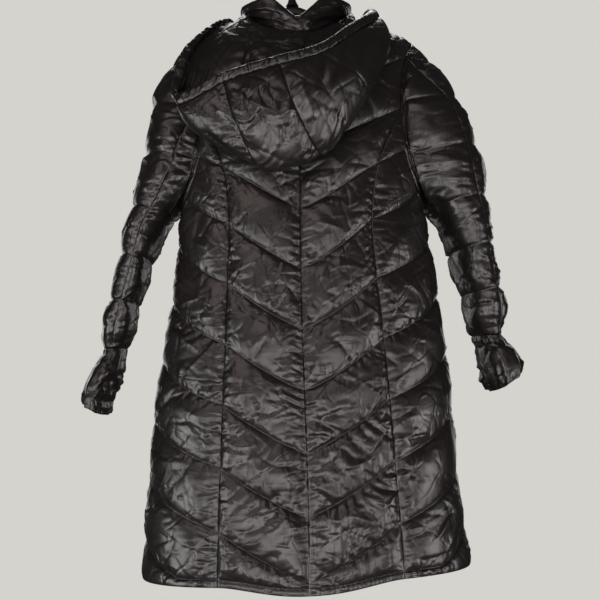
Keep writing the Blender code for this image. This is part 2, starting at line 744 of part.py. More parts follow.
def make_shell(name, grids, material, ring=False):
    """A closed wall between two grids of points; ring joins the last column to the first."""
    outer, inner = grids
    rows, columns = outer.shape[:2]
    points = np.concatenate([outer.reshape(-1, 3), inner.reshape(-1, 3)])
    skip = rows * columns
    faces = []
    for r in range(rows - 1):
        for c in range(columns if ring else columns - 1):
            d = (c + 1) % columns
            a, b = r * columns + c, r * columns + d
            e, f = (r + 1) * columns + d, (r + 1) * columns + c
            faces.append((a, b, e, f))
            faces.append((a + skip, f + skip, e + skip, b + skip))
    for c in range(columns if ring else columns - 1):
        d = (c + 1) % columns
        top = (rows - 1) * columns
        faces.append((c, c + skip, d + skip, d))
        faces.append((top + c, top + d, top + d + skip, top + c + skip))
    if not ring:
        for r in range(rows - 1):
            a, b = r * columns, (r + 1) * columns
            faces.append((a, b, b + skip, a + skip))
            c, d = a + columns - 1, b + columns - 1
            faces.append((c, c + skip, d + skip, d))
    if volume(points, faces) < 0:
        faces = [face[::-1] for face in faces]
    return make_object(name, points, faces, material)


def make_tube(name, path, widths, heights, material, sides=10):
    """A closed rod of oval section along a path in the XZ plane; widths lie along Y."""
    path = np.asarray(path, float)
    tangent = unit(np.gradient(path, axis=0))
    side = np.array([0, 1.0, 0])
    rise = unit(np.cross(tangent, side))
    turn = np.arange(sides) * 2 * math.pi / sides
    widths, heights = (np.broadcast_to(v, len(path))[:, None, None] for v in (widths, heights))
    ring = path[:, None] + side * np.cos(turn)[:, None] * widths + rise[:, None] * np.sin(turn)[:, None] * heights
    points = ring.reshape(-1, 3)
    faces = []
    for r in range(len(path) - 1):
        for k in range(sides):
            n = (k + 1) % sides
            faces.append((r * sides + k, r * sides + n, (r + 1) * sides + n, (r + 1) * sides + k))
    last = (len(path) - 1) * sides
    faces.append(tuple(range(sides))[::-1])
    faces.append(tuple(last + k for k in range(sides)))
    if volume(points, faces) < 0:
        faces = [face[::-1] for face in faces]
    return make_object(name, points, faces, material)


def make_prism(name, outline, low, high, place, axis, material):
    """An outline pushed along an axis from low to high. The outline's plane is the other two axes, in order."""
    count = len(outline)
    points = []
    for depth in (low, high):
        for a, b in outline:
            local = [a, b]
            local.insert(axis, depth)
            points.append(np.array(local))
    points = np.array(points)
    faces = [(k, (k + 1) % count, (k + 1) % count + count, k + count) for k in range(count)]
    faces += [tuple(range(count))[::-1], tuple(range(count, 2 * count))]
    if volume(points, faces) < 0:
        faces = [face[::-1] for face in faces]
    obj = make_object(name, points, faces, material)
    obj.location = place
    obj.data.polygons.foreach_set("use_smooth", [False] * len(obj.data.polygons))
    return obj


def make_materials():
    made = {}
    for name, (colour, rough, metal) in COLOURS.items():
        material = bpy.data.materials.new(name)
        material.use_nodes = True
        shader = material.node_tree.nodes["Principled BSDF"]
        shader.inputs["Base Color"].default_value = (*colour, 1)
        shader.inputs["Roughness"].default_value = rough
        shader.inputs["Metallic"].default_value = metal
        made[name] = material
    return made


def build_body(materials):
    for face in ("back", "front"):
        for panel in ("centre", "side"):
            for side in ("left", "right"):
                name = f"{face}_{panel}_{side}"
                make_shell(name, body_panel(face, side, panel), materials["shell_nylon"])


def build_sleeves(materials):
    for side in ("left", "right"):
        for piece in ("top", "under"):
            lower, upper = parted(sleeve_panel(side, piece), SLEEVE_PART)
            make_shell(f"sleeve_{piece}_{side}", upper, materials["shell_nylon"])
            make_shell(f"forearm_{piece}_{side}", lower, materials["shell_nylon"])
        make_shell(f"cuff_{side}", cuff(side), materials["shell_nylon"], ring=True)


def build_neck(materials):
    make_shell("collar", collar(), materials["shell_nylon"])
    lines = hood_lines()
    names = ("hood_side_left", "hood_strip", "hood_side_right")
    for name, columns in zip(names, hood_columns(lines)):
        make_shell(name, hood_panel(lines, columns), materials["shell_nylon"])
    make_shell("hood_casing", hood_casing(lines), materials["shell_nylon"])


def build_zip(materials):
    for side in ("left", "right"):
        make_shell(f"zip_tape_{side}", zip_tape(side), materials["zip_tape"])
    place = zip_place()
    half, wall, plate, lug = 0.0040, 0.0011, 0.0018, 0.0050
    channel = [(-half, 0), (half, 0), (half, lug), (half - wall, lug), (half - wall, plate)]
    channel += [(wall - half, plate), (wall - half, lug), (-half, lug)]
    make_prism("zip_slider", channel, -0.005, 0.005, place, 2, materials["zip_metal"])
    width, length, thick = TAB
    eye = 0.0012
    arc = [(eye * math.cos(a), eye * math.sin(a)) for a in np.linspace(-0.5, math.pi + 0.5, 9)]
    outline = arc + [(-thick / 2, -length), (thick / 2, -length)]
    pivot = place + np.array([0, plate + 0.0004 + eye, 0.002])
    make_prism("zip_pull", outline, -width / 2, width / 2, pivot, 0, materials["zip_metal"])


def arm_path():
    """The hanger's arms, just under the shoulder seams and arched up through the neck."""
    x = np.concatenate([np.linspace(HANGER_END["left"], 0, 12), np.linspace(0, HANGER_END["right"], 12)[1:]])
    neck = np.where(x < 0, NECK_SHARE * REACH["left"] - NECK_CENTRE, NECK_SHARE * REACH["right"] + NECK_CENTRE)
    inside = neck - 0.008
    foot = shoulder(np.sign(x) * inside) - WALL - 0.0016
    share = np.abs(x) / inside
    arch = HANGER_TOP + (foot - HANGER_TOP) * share**1.4
    top = np.where(share < 1, arch, np.minimum(shoulder(x) - WALL - 0.0016, foot))
    half = 0.0085 - 0.003 * (np.abs(x) / 0.165) ** 2
    return stack(x, 0 * x, top - half), half


def build_hanger(materials):
    path, half = arm_path()
    ends = np.clip((np.abs(np.gradient(path[:, 0])).cumsum() - 0.004) / 0.010, 0.35, 1)
    ends = np.minimum(ends, ends[::-1])
    make_tube("hanger_arms", path, 0.0065 * ends, half * ends, materials["hanger_plastic"])
    neck = [(0, 0, z) for z in np.linspace(HANGER_TOP - 0.0001, HANGER_TOP + 0.018, 5)]
    widths = np.array([0.0105, 0.0078, 0.0060, 0.0052, 0.0048])
    make_tube("hanger_neck", neck, widths * 0.62, widths, materials["hanger_plastic"])
    start = HANGER_TOP + 0.0183
    centre = HOOK_ROD - HOOK_RADIUS
    arc = [(HOOK_RADIUS * math.sin(a), HOOK_RADIUS * math.cos(a)) for a in np.radians(range(125, -126, -14))]
    path = [(0, start), (0, start + 0.007), (0.004, start + 0.0135), (0.0115, start + 0.0195)]
    path = [(x, 0, z) for x, z in path] + [(x, 0, centre + z) for x, z in arc]
    make_tube("hanger_hook", path, HOOK_ROD, HOOK_ROD, materials["hook_steel"], 8)


def main():
    for obj in list(bpy.data.objects):
        bpy.data.objects.remove(obj)
    materials = make_materials()
    build_body(materials)
    build_sleeves(materials)
    build_neck(materials)
    build_zip(materials)
    build_hanger(materials)


main()
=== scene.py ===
"""Looks of a long hooded puffer coat that hangs from a plain hanger.

Metres, +Z up. The origin is the point that the hanger's hook hangs from. The back of the coat faces
-Y and its zip faces +Y. Left and right are as seen from behind.

Each panel is cut from the same tables as its solid. Its outer cloth then has a little more length than
the wall that it is sewn to, and is settled over the padding, so it puffs between the quilting lines
and crumples beside them.
"""

import math
from collections import namedtuple

import bpy
import numpy as np
from bpy.props import FloatProperty, FloatVectorProperty, PointerProperty
from mathutils import Matrix


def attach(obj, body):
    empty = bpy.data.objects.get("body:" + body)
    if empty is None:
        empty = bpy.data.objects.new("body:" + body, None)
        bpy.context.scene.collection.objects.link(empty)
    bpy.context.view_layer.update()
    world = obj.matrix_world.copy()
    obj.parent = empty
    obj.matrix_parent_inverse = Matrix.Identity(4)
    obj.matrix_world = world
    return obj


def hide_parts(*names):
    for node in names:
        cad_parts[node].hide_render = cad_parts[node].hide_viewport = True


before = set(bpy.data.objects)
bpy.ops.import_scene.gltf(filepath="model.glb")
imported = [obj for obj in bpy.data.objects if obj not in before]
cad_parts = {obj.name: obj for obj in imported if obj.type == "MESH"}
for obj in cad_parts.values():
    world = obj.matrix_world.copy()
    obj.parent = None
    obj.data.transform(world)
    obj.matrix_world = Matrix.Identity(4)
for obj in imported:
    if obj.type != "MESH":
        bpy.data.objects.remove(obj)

bl_info = {
    "name": "Long puffer coat",
    "version": (1, 0, 0),
    "blender": (4, 5, 0),
    "location": "3D View > Sidebar > Coat",
    "description": "Quilted cloth, sewing, zip and hanger round a fixed frame",
    "category": "Add Mesh",
}

# Sizes, in metres

GAP = 0.0003  # left between two pieces that are sewn together
WALL = 0.003  # two layers of cloth and the padding between them
ROUND = 2.4  # power of the body's oval section: 2 is an ellipse, and more is squarer

# The body at each height: x of its sides, and its depth to the back and to the front
Section = namedtuple("Section", "z left right back front")
BODY = (
    Section(-0.985, -0.258, 0.241, 0.122, 0.119),
    Section(-0.931, -0.249, 0.231, 0.120, 0.117),
    Section(-0.879, -0.244, 0.225, 0.118, 0.115),
    Section(-0.817, -0.239, 0.222, 0.116, 0.113),
    Section(-0.760, -0.234, 0.220, 0.113, 0.111),
    Section(-0.702, -0.226, 0.218, 0.111, 0.109),
    Section(-0.609, -0.209, 0.210, 0.108, 0.106),
    Section(-0.514, -0.192, 0.201, 0.106, 0.103),
    Section(-0.405, -0.185, 0.192, 0.104, 0.101),
    Section(-0.250, -0.184, 0.196, 0.096, 0.094),
    Section(-0.200, -0.184, 0.198, 0.084, 0.084),
    Section(-0.158, -0.184, 0.198, 0.068, 0.076),
    Section(-0.100, -0.184, 0.198, 0.050, 0.056),
)

# Seams at each height: x of the centre, and how far from it the seam lies on each side
Seam = namedtuple("Seam", "z centre left right")
PRINCESS = (
    Seam(-0.985, -0.012, 0.127, 0.135),
    Seam(-0.860, -0.009, 0.124, 0.128),
    Seam(-0.780, -0.008, 0.120, 0.124),
    Seam(-0.700, -0.008, 0.115, 0.121),
    Seam(-0.610, -0.008, 0.109, 0.116),
    Seam(-0.541, -0.007, 0.106, 0.110),
    Seam(-0.455, -0.005, 0.103, 0.105),
    Seam(-0.395, -0.003, 0.107, 0.110),
    Seam(-0.346, -0.002, 0.118, 0.124),
    Seam(-0.310, -0.001, 0.131, 0.140),
    Seam(-0.277, -0.001, 0.146, 0.157),
)
ARMHOLE = (
    Seam(-0.405, -0.003, 0.182, 0.195),
    Seam(-0.390, -0.003, 0.172, 0.186),
    Seam(-0.360, -0.002, 0.158, 0.171),
    Seam(-0.320, -0.001, 0.149, 0.161),
    Seam(-0.277, -0.001, 0.146, 0.157),
    Seam(-0.215, 0.001, 0.152, 0.162),
    Seam(-0.180, 0.003, 0.163, 0.172),
    Seam(-0.150, 0.004, 0.176, 0.186),
)
CORNER = -0.277  # where the princess seams run into the armholes
ARMPIT = -0.405
SHOULDER_TIP = -0.150

# Height of the shoulder seam, by the share of REACH from the neck's centre
Ridge = namedtuple("Ridge", "share z")
SHOULDER = (
    Ridge(0.00, -0.093),
    Ridge(0.41, -0.120),
    Ridge(0.76, -0.130),
    Ridge(0.89, -0.138),
    Ridge(1.00, -0.150),
)
NECK_SHARE = 0.41  # share of REACH where the neckline meets the shoulder seam
REACH = {"left": 0.176, "right": 0.186}  # from the neck's centre to the shoulder's tip
NECK_CENTRE = 0.004
NECK_DIP = {"back": -0.158, "front": -0.195}  # the neckline's lowest points
ROLL = 0.075  # how far below the shoulder seam the body starts to draw in

HEM = {"centre": -0.974, "princess": -0.960, "side": -0.962}
QUILT_TOP = -0.434  # line number 0, at the centre
QUILT_PITCH = 0.087
QUILT_RISE = {"centre": 0.070, "side": 0.075}  # how far a line climbs across each panel
HEM_BAND = 0.010  # least height below the lowest line
SQUEEZE = 0.012  # least distance between lines that run out at a panel's top
PUFF_SHARE = 0.11  # most that the padding rises, as a share of the distance between two lines
SHOULDER_PUFF = 0.6  # share of the puff that is left at the shoulder seam
SHOULDER_DEEP = 0.09  # how far below that seam the puff is whole
SEAM_FADE = 0.010  # how far from a seam the padding fills out
PANEL_WIDE = {"centre": 0.13, "side": 0.15}  # rough widths, which set the grids' columns
EDGE_GRID = 0.004  # spacing along the front edges that carry the zip

# A sleeve at each height: x of its outer and inner side, half its depth, and y of its middle
Arm = namedtuple("Arm", "z outer inner depth middle")
SLEEVE = {
    "left": (
        Arm(-0.735, -0.338, -0.308, 0.058, 0.016),
        Arm(-0.705, -0.339, -0.304, 0.060, 0.016),
        Arm(-0.680, -0.333, -0.295, 0.057, 0.015),
        Arm(-0.655, -0.323, -0.285, 0.050, 0.014),
        Arm(-0.622, -0.308, -0.276, 0.042, 0.013),
        Arm(-0.600, -0.307, -0.270, 0.050, 0.012),
        Arm(-0.540, -0.291, -0.252, 0.061, 0.010),
        Arm(-0.493, -0.279, -0.236, 0.066, 0.008),
        Arm(-0.450, -0.269, -0.220, 0.070, 0.006),
        Arm(-0.405, -0.257, -0.184, 0.074, 0.004),
        Arm(-0.350, -0.240, -0.150, 0.078, 0.002),
        Arm(-0.300, -0.230, -0.138, 0.078, 0.001),
        Arm(-0.250, -0.222, -0.132, 0.073, 0.000),
        Arm(-0.200, -0.206, -0.140, 0.060, 0.000),
        Arm(-0.165, -0.191, -0.158, 0.036, 0.000),
        Arm(-0.140, -0.177, -0.164, 0.010, 0.000),
    ),
    "right": (
        Arm(-0.735, 0.329, 0.297, 0.060, 0.016),
        Arm(-0.700, 0.332, 0.288, 0.060, 0.016),
        Arm(-0.676, 0.334, 0.283, 0.057, 0.015),
        Arm(-0.650, 0.325, 0.277, 0.050, 0.014),
        Arm(-0.622, 0.308, 0.268, 0.042, 0.013),
        Arm(-0.585, 0.314, 0.259, 0.052, 0.012),
        Arm(-0.540, 0.306, 0.252, 0.060, 0.010),
        Arm(-0.490, 0.299, 0.238, 0.065, 0.008),
        Arm(-0.448, 0.296, 0.224, 0.070, 0.006),
        Arm(-0.405, 0.291, 0.192, 0.074, 0.004),
        Arm(-0.350, 0.285, 0.166, 0.078, 0.002),
        Arm(-0.300, 0.272, 0.152, 0.078, 0.001),
        Arm(-0.250, 0.253, 0.146, 0.073, 0.000),
        Arm(-0.200, 0.230, 0.154, 0.060, 0.000),
        Arm(-0.165, 0.208, 0.172, 0.036, 0.000),
        Arm(-0.140, 0.190, 0.178, 0.010, 0.000),
    ),
}
SLEEVE_LINES = (-0.622, -0.553, -0.485, -0.415, -0.338, -0.262, -0.192)
SLEEVE_SQUEEZE = 0.007  # least distance between lines that run out at the armhole
SLEEVE_TILT = 0.20  # how far a line climbs to the outer side, as a share of half the width
SLEEVE_BLEND = 0.090  # length over which the armhole's ring turns into the sleeve's section
SLEEVE_SEAMS = {"left": (-95, 100), "right": (-58, 105)}  # angles round the sleeve, in degrees
SLEEVE_WIDE = {"top": 0.19, "under": 0.15}
ARM_ROUND = 0.9  # power of a sleeve's oval section: 1 is an ellipse, and less is squarer
ARM_RADIUS = 0.055
CUFF_END = {"left": (-0.713, 0.010), "right": (-0.694, 0.015)}  # lower edge: middle height and tilt
CUFF_WIDE = 0.26  # rough girth and height, which set the grid
CUFF_TALL = 0.09
CUFF_SEAM = 0.6  # angle of the cuff's own seam, off the inner side
CUFF_PUFF = 0.004
CUFF_WAVES = 10
CUFF_WAVE = 0.0020

# The collar's height and outward lean, by place: 0 at a front edge, 1 at a shoulder, 2 at the back
Stand = namedtuple("Stand", "place height lean")
COLLAR = (
    Stand(0.0, 0.040, 0.002),
    Stand(0.5, 0.040, 0.006),
    Stand(1.0, 0.032, 0.014),
    Stand(1.3, 0.044, 0.012),
    Stand(1.5, 0.051, 0.008),
    Stand(1.75, 0.040, 0.003),
    Stand(2.0, 0.027, 0.000),
)
COLLAR_WIDE = 0.30  # rough length and height, which set the grid
COLLAR_TALL = 0.045
COLLAR_PUFF = 0.007
COLLAR_SHAPE = (0.0, 0.25, 0.5, 0.75, 1.0), (0.0, 0.28, 0.8, 0.95, 0.3)  # puff up the collar

# The hood's lines, from the left front edge round the back to the right one, in millimetres. Each
# starts on the neck seam, at a share of the way to the shoulder, and lifts off the body by root.
# Then come its points on the inner layer, the fold, the outer layer and the rim.
Rib = namedtuple("Rib", "place share root inner fold outer rim")
HOOD = (
    Rib("front left", 0.91, 6, (-78, 24, -115), (-84, 21, -113), (-88, 18, -112), (-92, 15, -111)),
    Rib("back left", 0.99, 6, (-88, -6, -115), (-97, -13, -115), (-103, -18, -115), (-108, -22, -115)),
    Rib("back left", 0.84, 11, (-95, -54, -136), (-122, -68, -153), (-132, -73, -156), (-137, -70, -152)),
    Rib("back left", 0.65, 11, (-102, -86, -168), (-148, -106, -214), (-161, -113, -213), (-172, -111, -207)),
    Rib("back left", 0.45, 11, (-94, -104, -200), (-150, -126, -300), (-166, -145, -298), (-175, -142, -272)),
    Rib("back left", 0.25, 11, (-80, -112, -220), (-62, -137, -373), (-92, -174, -322), (-108, -164, -253)),
    Rib("back right", 0.00, 11, (-38, -114, -228), (-18, -138, -376), (-52, -180, -316), (-70, -167, -242)),
    Rib("back right", 0.25, 11, (6, -113, -224), (26, -136, -361), (-12, -181, -304), (-32, -168, -232)),
    Rib("back right", 0.50, 11, (46, -109, -206), (66, -133, -319), (44, -172, -272), (27, -160, -213)),
    Rib("back right", 0.70, 11, (78, -97, -178), (104, -124, -256), (93, -150, -222), (72, -138, -177)),
    Rib("back right", 0.87, 11, (97, -68, -142), (132, -90, -180), (128, -106, -166), (107, -98, -141)),
    Rib("back right", 0.99, 6, (97, -14, -117), (113, -24, -120), (119, -33, -115), (115, -36, -107)),
    Rib("front right", 0.91, 6, (92, 24, -115), (98, 21, -113), (102, 18, -112), (106, 14, -111)),
)
HOOD_SEAMS = (5, 7)  # the lines that the centre strip lies between
HOOD_SLIP = 0.002  # how far a piece stays off such a line, counted in lines
HOOD_STRIDE = 0.048  # rough distance between two lines
HOOD_TALL = 0.36
HOOD_GRID = 0.0020
HOOD_PUFF = 0.004
CASING = 0.0180  # width of the gathered casing along the rim
CASING_GAP = 0.0014
CASING_WIDE = 0.60
CASING_PUFF = 0.0062
GATHER_PITCH = 0.0085
GATHER_DEPTH = 0.0008

ZIP_HALF = 0.007  # half the distance between the closed front edges
ZIP_SLIDER = -0.300
ZIP_SPREAD = 0.17  # how fast the front edges part above the slider
TAPE = 0.0012

TAB = (0.0048, 0.026, 0.0012)  # width, length and thickness
EYE = 0.0012
PIVOT = (0, 0.0018 + 0.0004 + EYE, 0.002)
TEETH_PITCH = 0.0031

HANGER_TOP = -0.082
HANGER_END = {"left": -0.150, "right": 0.165}
HANGER_HALF = 0.0085  # half the arms' height at the neck
HANGER_TAPER = 0.003  # how much less it is at the longer arm's end
HANGER_WIDE = 0.0065  # half the arms' width
HANGER_CLEAR = 0.0016  # between the arms and the wall over them
HOOK_RADIUS = 0.021
HOOK_ROD = 0.0019

Stitch = namedtuple("Stitch", "pitch length thick")
STITCH = Stitch(pitch=0.0034, length=0.0026, thick=0.00026)  # thick is half a thread's width

SIDES = ("left", "right")
SEED = {"body": 10, "sleeves": 40, "collar": 70, "hood": 71, "casing": 75, "gathers": 7}


# Sums that the pieces share


def smooth(xs, ys, at):
    """A monotone cubic through the points xs, ys, with xs rising."""
    xs, ys, at = (np.asarray(v, float) for v in (xs, ys, at))
    step = np.diff(xs)
    slope = np.diff(ys) / step
    bend = np.zeros_like(ys)
    same = slope[1:] * slope[:-1] > 0
    mean = 2 * slope[1:] * slope[:-1] / np.where(same, slope[1:] + slope[:-1], 1)
    bend[1:-1] = np.where(same, mean, 0)
    bend[0], bend[-1] = slope[0], slope[-1]
    i = np.clip(np.searchsorted(xs, at) - 1, 0, len(step) - 1)
    t = np.clip((at - xs[i]) / step[i], 0, 1)
    low = ys[i] * (1 + 2 * t) + step[i] * bend[i] * t
    high = ys[i + 1] * (3 - 2 * t) + step[i] * bend[i + 1] * (t - 1)
    return low * (1 - t) ** 2 + high * t**2


def column(table, name, at, key="z"):
    """A table's value called name where its key has the value at."""
    return smooth([getattr(row, key) for row in table], [getattr(row, name) for row in table], at)


def sign(side):
    return -1 if side == "left" else 1


def signed_power(value, power):
    return np.sign(value) * np.abs(value) ** power


def unit(vectors):
    length = np.linalg.norm(vectors, axis=-1, keepdims=True)
    return vectors / np.maximum(length, 1e-12)


def stack(x, y, z):
    """Points from coordinates that may have different shapes."""
    return np.stack(np.broadcast_arrays(x, y, z), axis=-1).astype(float)


def ease(t):
    """Rises smoothly from 0 to 1 with t."""
    t = np.clip(t, 0, 1)
    return t * t * (3 - 2 * t)


def steps(length, spacing):
    """How many grid steps span a length: a multiple of four, because the cloth is settled coarse first."""
    return 4 * max(1, math.ceil(length / spacing / 4))


def grid_normal(grid, way):
    """Normals of a grid of points. way is 1 or -1, for the side that is outside."""
    across, up = np.gradient(grid, axis=1), np.gradient(grid, axis=0)
    return unit(np.cross(across, up)) * way


def grain(shape, scale, rng):
    """A smooth random field with a spread of 1. scale is its lump size in grid steps, up and across."""
    pad = [n + int(4 * s) for n, s in zip(shape, scale)]
    field = np.fft.rfft2(rng.standard_normal(pad))
    up = np.fft.fftfreq(pad[0])[:, None] * scale[0]
    across = np.fft.rfftfreq(pad[1])[None] * scale[1]
    field = np.fft.irfft2(field * np.exp(-12.0 * (up**2 + across**2)), pad)
    return (field / field.std())[: shape[0], : shape[1]]


# The body's surface


def middle_and_half(z):
    """x of the body's middle and half its width."""
    left, right = column(BODY, "left", z), column(BODY, "right", z)
    return (left + right) / 2, (right - left) / 2


def shoulder(x):
    """Height of the shoulder seam's ridge over x."""
    out = np.asarray(x, float) - NECK_CENTRE
    share = np.where(out < 0, -out / REACH["left"], out / REACH["right"])
    return column(SHOULDER, "z", np.minimum(share, 1), "share")


def angle_at(x, z):
    """The section angle that gives x at height z: -90 degrees at the left side, 90 at the right."""
    middle, half = middle_and_half(z)
    share = np.clip((x - middle) / half, -1, 1)
    return np.arcsin(signed_power(share, ROUND / 2))


def body_point(angle, z, face):
    """A point of the body's outer wall, drawn in under the shoulder seam."""
    middle, half = middle_and_half(z)
    x = middle + half * signed_power(np.sin(angle), 2 / ROUND)
    over = np.clip((shoulder(x) - z) / ROLL, 0, 1)
    depth = column(BODY, face, z) * signed_power(np.cos(angle), 2 / ROUND)
    y = depth * np.sqrt(1 - (1 - over) ** 2)
    return stack(x, -y if face == "back" else y, z)


def edge_x(table, side, z):
    """x of a princess seam or an armhole."""
    return column(table, "centre", z) + sign(side) * column(table, side, z)


def outer_edge(side, z):
    """x of the centre panel's outer edge: the princess seam and, above the corner, the armhole."""
    return np.where(z > CORNER, edge_x(ARMHOLE, side, z), edge_x(PRINCESS, side, z))


def centre_x(z):
    low, high = column(PRINCESS, "centre", z), column(ARMHOLE, "centre", z)
    return np.where(z > CORNER, high, low)


def front_opening(z):
    """Half the width between the front edges, which part above the zip's slider."""
    return ZIP_HALF + ZIP_SPREAD * np.maximum(z - ZIP_SLIDER - 0.012, 0)


def inner_edge(face, side, z):
    """x of the centre panel's inner edge: the centre back seam or a front edge."""
    half = GAP / 2 if face == "back" else front_opening(z)
    return centre_x(z) + sign(side) * half


def neckline(face, share):
    """Height of the neckline at a share of the way from the centre to the shoulder seam."""
    top = SHOULDER[1].z
    return NECK_DIP[face] + (top - NECK_DIP[face]) * np.asarray(share, float) ** 2


def centre_top(face, side, across):
    """Height of a centre panel's top edge, which is the neckline and then the shoulder seam."""
    z = np.full_like(across, SHOULDER_TIP)
    for _ in range(30):
        start = angle_at(inner_edge(face, side, z), z)
        end = angle_at(outer_edge(side, z), z)
        x = body_point(start + (end - start) * across, z, face)[..., 0]
        share = np.abs(x - NECK_CENTRE) / (NECK_SHARE * REACH[side])
        z = np.where(share < 1, neckline(face, np.minimum(share, 1)), shoulder(x))
    return z


def side_top(side, across):
    """Height of a side panel's top edge, which is the armhole's lower part."""
    z = np.linspace(CORNER, ARMPIT, 60)
    start = np.abs(angle_at(edge_x(PRINCESS, side, np.minimum(z, CORNER)), z))
    here = np.abs(angle_at(edge_x(ARMHOLE, side, z), z))
    share = (here - start) / (math.pi / 2 - start)
    share[-1] = 1.0
    return np.interp(across, np.maximum.accumulate(share), z)


def quilt_line(number, across, panel):
    """Height of a quilting line at a share of the way across a panel."""
    rise = QUILT_RISE["centre"] * across
    if panel == "side":
        rise = QUILT_RISE["centre"] + QUILT_RISE["side"] * across
    return QUILT_TOP - QUILT_PITCH * number + rise


def hem(across, panel):
    ends = ("centre", "princess") if panel == "centre" else ("princess", "side")
    return HEM[ends[0]] + (HEM[ends[1]] - HEM[ends[0]]) * ease(across)


# A piece of cloth as a grid: its plain wall, the wall's normals, how far the padding rises from it,
# and the rows that are sewn down
Cut = namedtuple("Cut", "base normal plump lines")


def unquilted(base, normal, plump):
    """A piece that is sewn down along its first and last rows alone."""
    return Cut(base, normal, plump, np.array([0, len(base) - 1]))


def lay_rows(levels, spacing, puff, last_ease=1.0):
    """Rows through the levels: their places, the padding's height, and the rows that are sewn down."""
    rows, plump, lines = [levels[0]], [0 * levels[0]], [0]
    for k, (low, high) in enumerate(zip(levels, levels[1:])):
        count = steps(float(np.max(high - low)), spacing)
        tall = np.minimum(puff, PUFF_SHARE * (high - low))
        for i in range(1, count + 1):
            t = i / count
            if k == len(levels) - 2:
                t = 1 - (1 - t) ** last_ease
            rows.append(low + (high - low) * t)
            plump.append(tall * max(math.sin(math.pi * t), 0) ** 0.6)
        lines.append(len(rows) - 1)
    return np.array(rows), np.array(plump), np.array(lines)


def seam_fade(share, width):
    """0 at both edges of a panel and near 1 between them."""
    near = np.minimum(share, 1 - share) * width
    return 1 - np.exp(-near / SEAM_FADE)


def body_cut(face, side, panel, spacing, puff):
    """One of the eight body panels."""
    width = PANEL_WIDE[panel]
    across = np.linspace(0, 1, steps(width, spacing) + 1)
    if panel == "centre":
        top = centre_top(face, side, across)
        numbers = range(6, -3, -1)
    else:
        top = side_top(side, across)
        numbers = range(6, -1, -1)
    low = hem(across, panel)
    levels = [low, np.maximum(quilt_line(7, across, panel), low + HEM_BAND)]
    for number in numbers:
        ceiling = top - SQUEEZE * (1 + number - numbers[-1])
        levels.append(np.minimum(quilt_line(number, across, panel), ceiling))
    levels.append(top)
    z, plump, lines = lay_rows(levels, spacing, puff, 1.5 if panel == "centre" else 1.0)
    if panel == "centre":
        start = angle_at(inner_edge(face, side, z), z)
        end = angle_at(outer_edge(side, z) - sign(side) * GAP / 2, z)
        full = SHOULDER_PUFF + (1 - SHOULDER_PUFF) * ease((top - z) / SHOULDER_DEEP)
        plump *= np.where(z > top - SHOULDER_DEEP, full, 1)
        plump *= 1 - np.exp((z - top - 1e-5) / 0.012)
    else:
        start = angle_at(edge_x(PRINCESS, side, np.minimum(z, CORNER)) + sign(side) * GAP / 2, z)
        slip = (GAP / 2 / column(BODY, face, z)) ** (ROUND / 2)
        end = sign(side) * (math.pi / 2 - slip)
        z[-1] -= GAP
    base = body_point(start + (end - start) * across, z, face)
    normal = grid_normal(base, sign(side) * (1 if face == "back" else -1))
    return Cut(base, normal, plump * seam_fade(across, width), lines)


# The sleeves' surface


def arm_top(turn):
    """Height of the armhole seam at an angle round the sleeve, 0 at the shoulder and 180 at the armpit."""
    return ARMPIT + (SHOULDER_TIP - ARMPIT) * np.abs(np.cos(turn / 2)) ** 1.2


def arm_ring(side, turn):
    """The armhole seam itself."""
    z = arm_top(turn)
    angle = angle_at(edge_x(ARMHOLE, side, z), z)
    point = np.where((turn < 0)[..., None], body_point(angle, z, "back"), body_point(angle, z, "front"))
    point[..., 0] += sign(side) * GAP
    return point


def arm_section(side, turn, z):
    """A point of a sleeve's wall, below the shoulder's curve."""
    table = SLEEVE[side]
    outer, inner = column(table, "outer", z), column(table, "inner", z)
    x = (outer + inner) / 2 + (outer - inner) / 2 * signed_power(np.cos(turn), ARM_ROUND)
    y = column(table, "middle", z) + column(table, "depth", z) * signed_power(np.sin(turn), ARM_ROUND)
    return stack(x, y, z)


def arm_point(side, turn, z):
    """A point of a sleeve's wall, which starts at the armhole seam."""
    turn = (turn + math.pi) % (2 * math.pi) - math.pi
    top = arm_top(turn)
    near = ease(1 - (top - z) / SLEEVE_BLEND)
    shift = arm_ring(side, turn) - arm_section(side, turn, top)
    return arm_section(side, turn, z) + shift * near[..., None]


def sleeve_cut(side, piece, spacing, puff):
    """The top or the under piece of a sleeve, from the wrist to the armhole."""
    back, front = (math.radians(a) for a in SLEEVE_SEAMS[side])
    ends = (back, front) if piece == "top" else (front, back + 2 * math.pi)
    width = SLEEVE_WIDE[piece]
    slip = GAP / 2 / ARM_RADIUS
    turn = np.linspace(ends[0] + slip, ends[1] - slip, steps(width, spacing) + 1)
    top = arm_top(turn)
    levels = []
    for k, line in enumerate(SLEEVE_LINES):
        outer, inner = column(SLEEVE[side], "outer", line), column(SLEEVE[side], "inner", line)
        tilt = 0 if k == 0 else SLEEVE_TILT * abs(outer - inner) / 2
        ceiling = top - SLEEVE_SQUEEZE * (len(SLEEVE_LINES) - k)
        levels.append(np.minimum(line + tilt * np.cos(turn), ceiling))
    levels[0] = levels[0] + GAP
    levels.append(top)
    z, plump, lines = lay_rows(levels, spacing, puff)
    base = arm_point(side, np.broadcast_to(turn, z.shape), z)
    normal = grid_normal(base, sign(side))
    share = (turn - turn[0]) / (turn[-1] - turn[0])
    return Cut(base, normal, plump * seam_fade(share, width), lines)


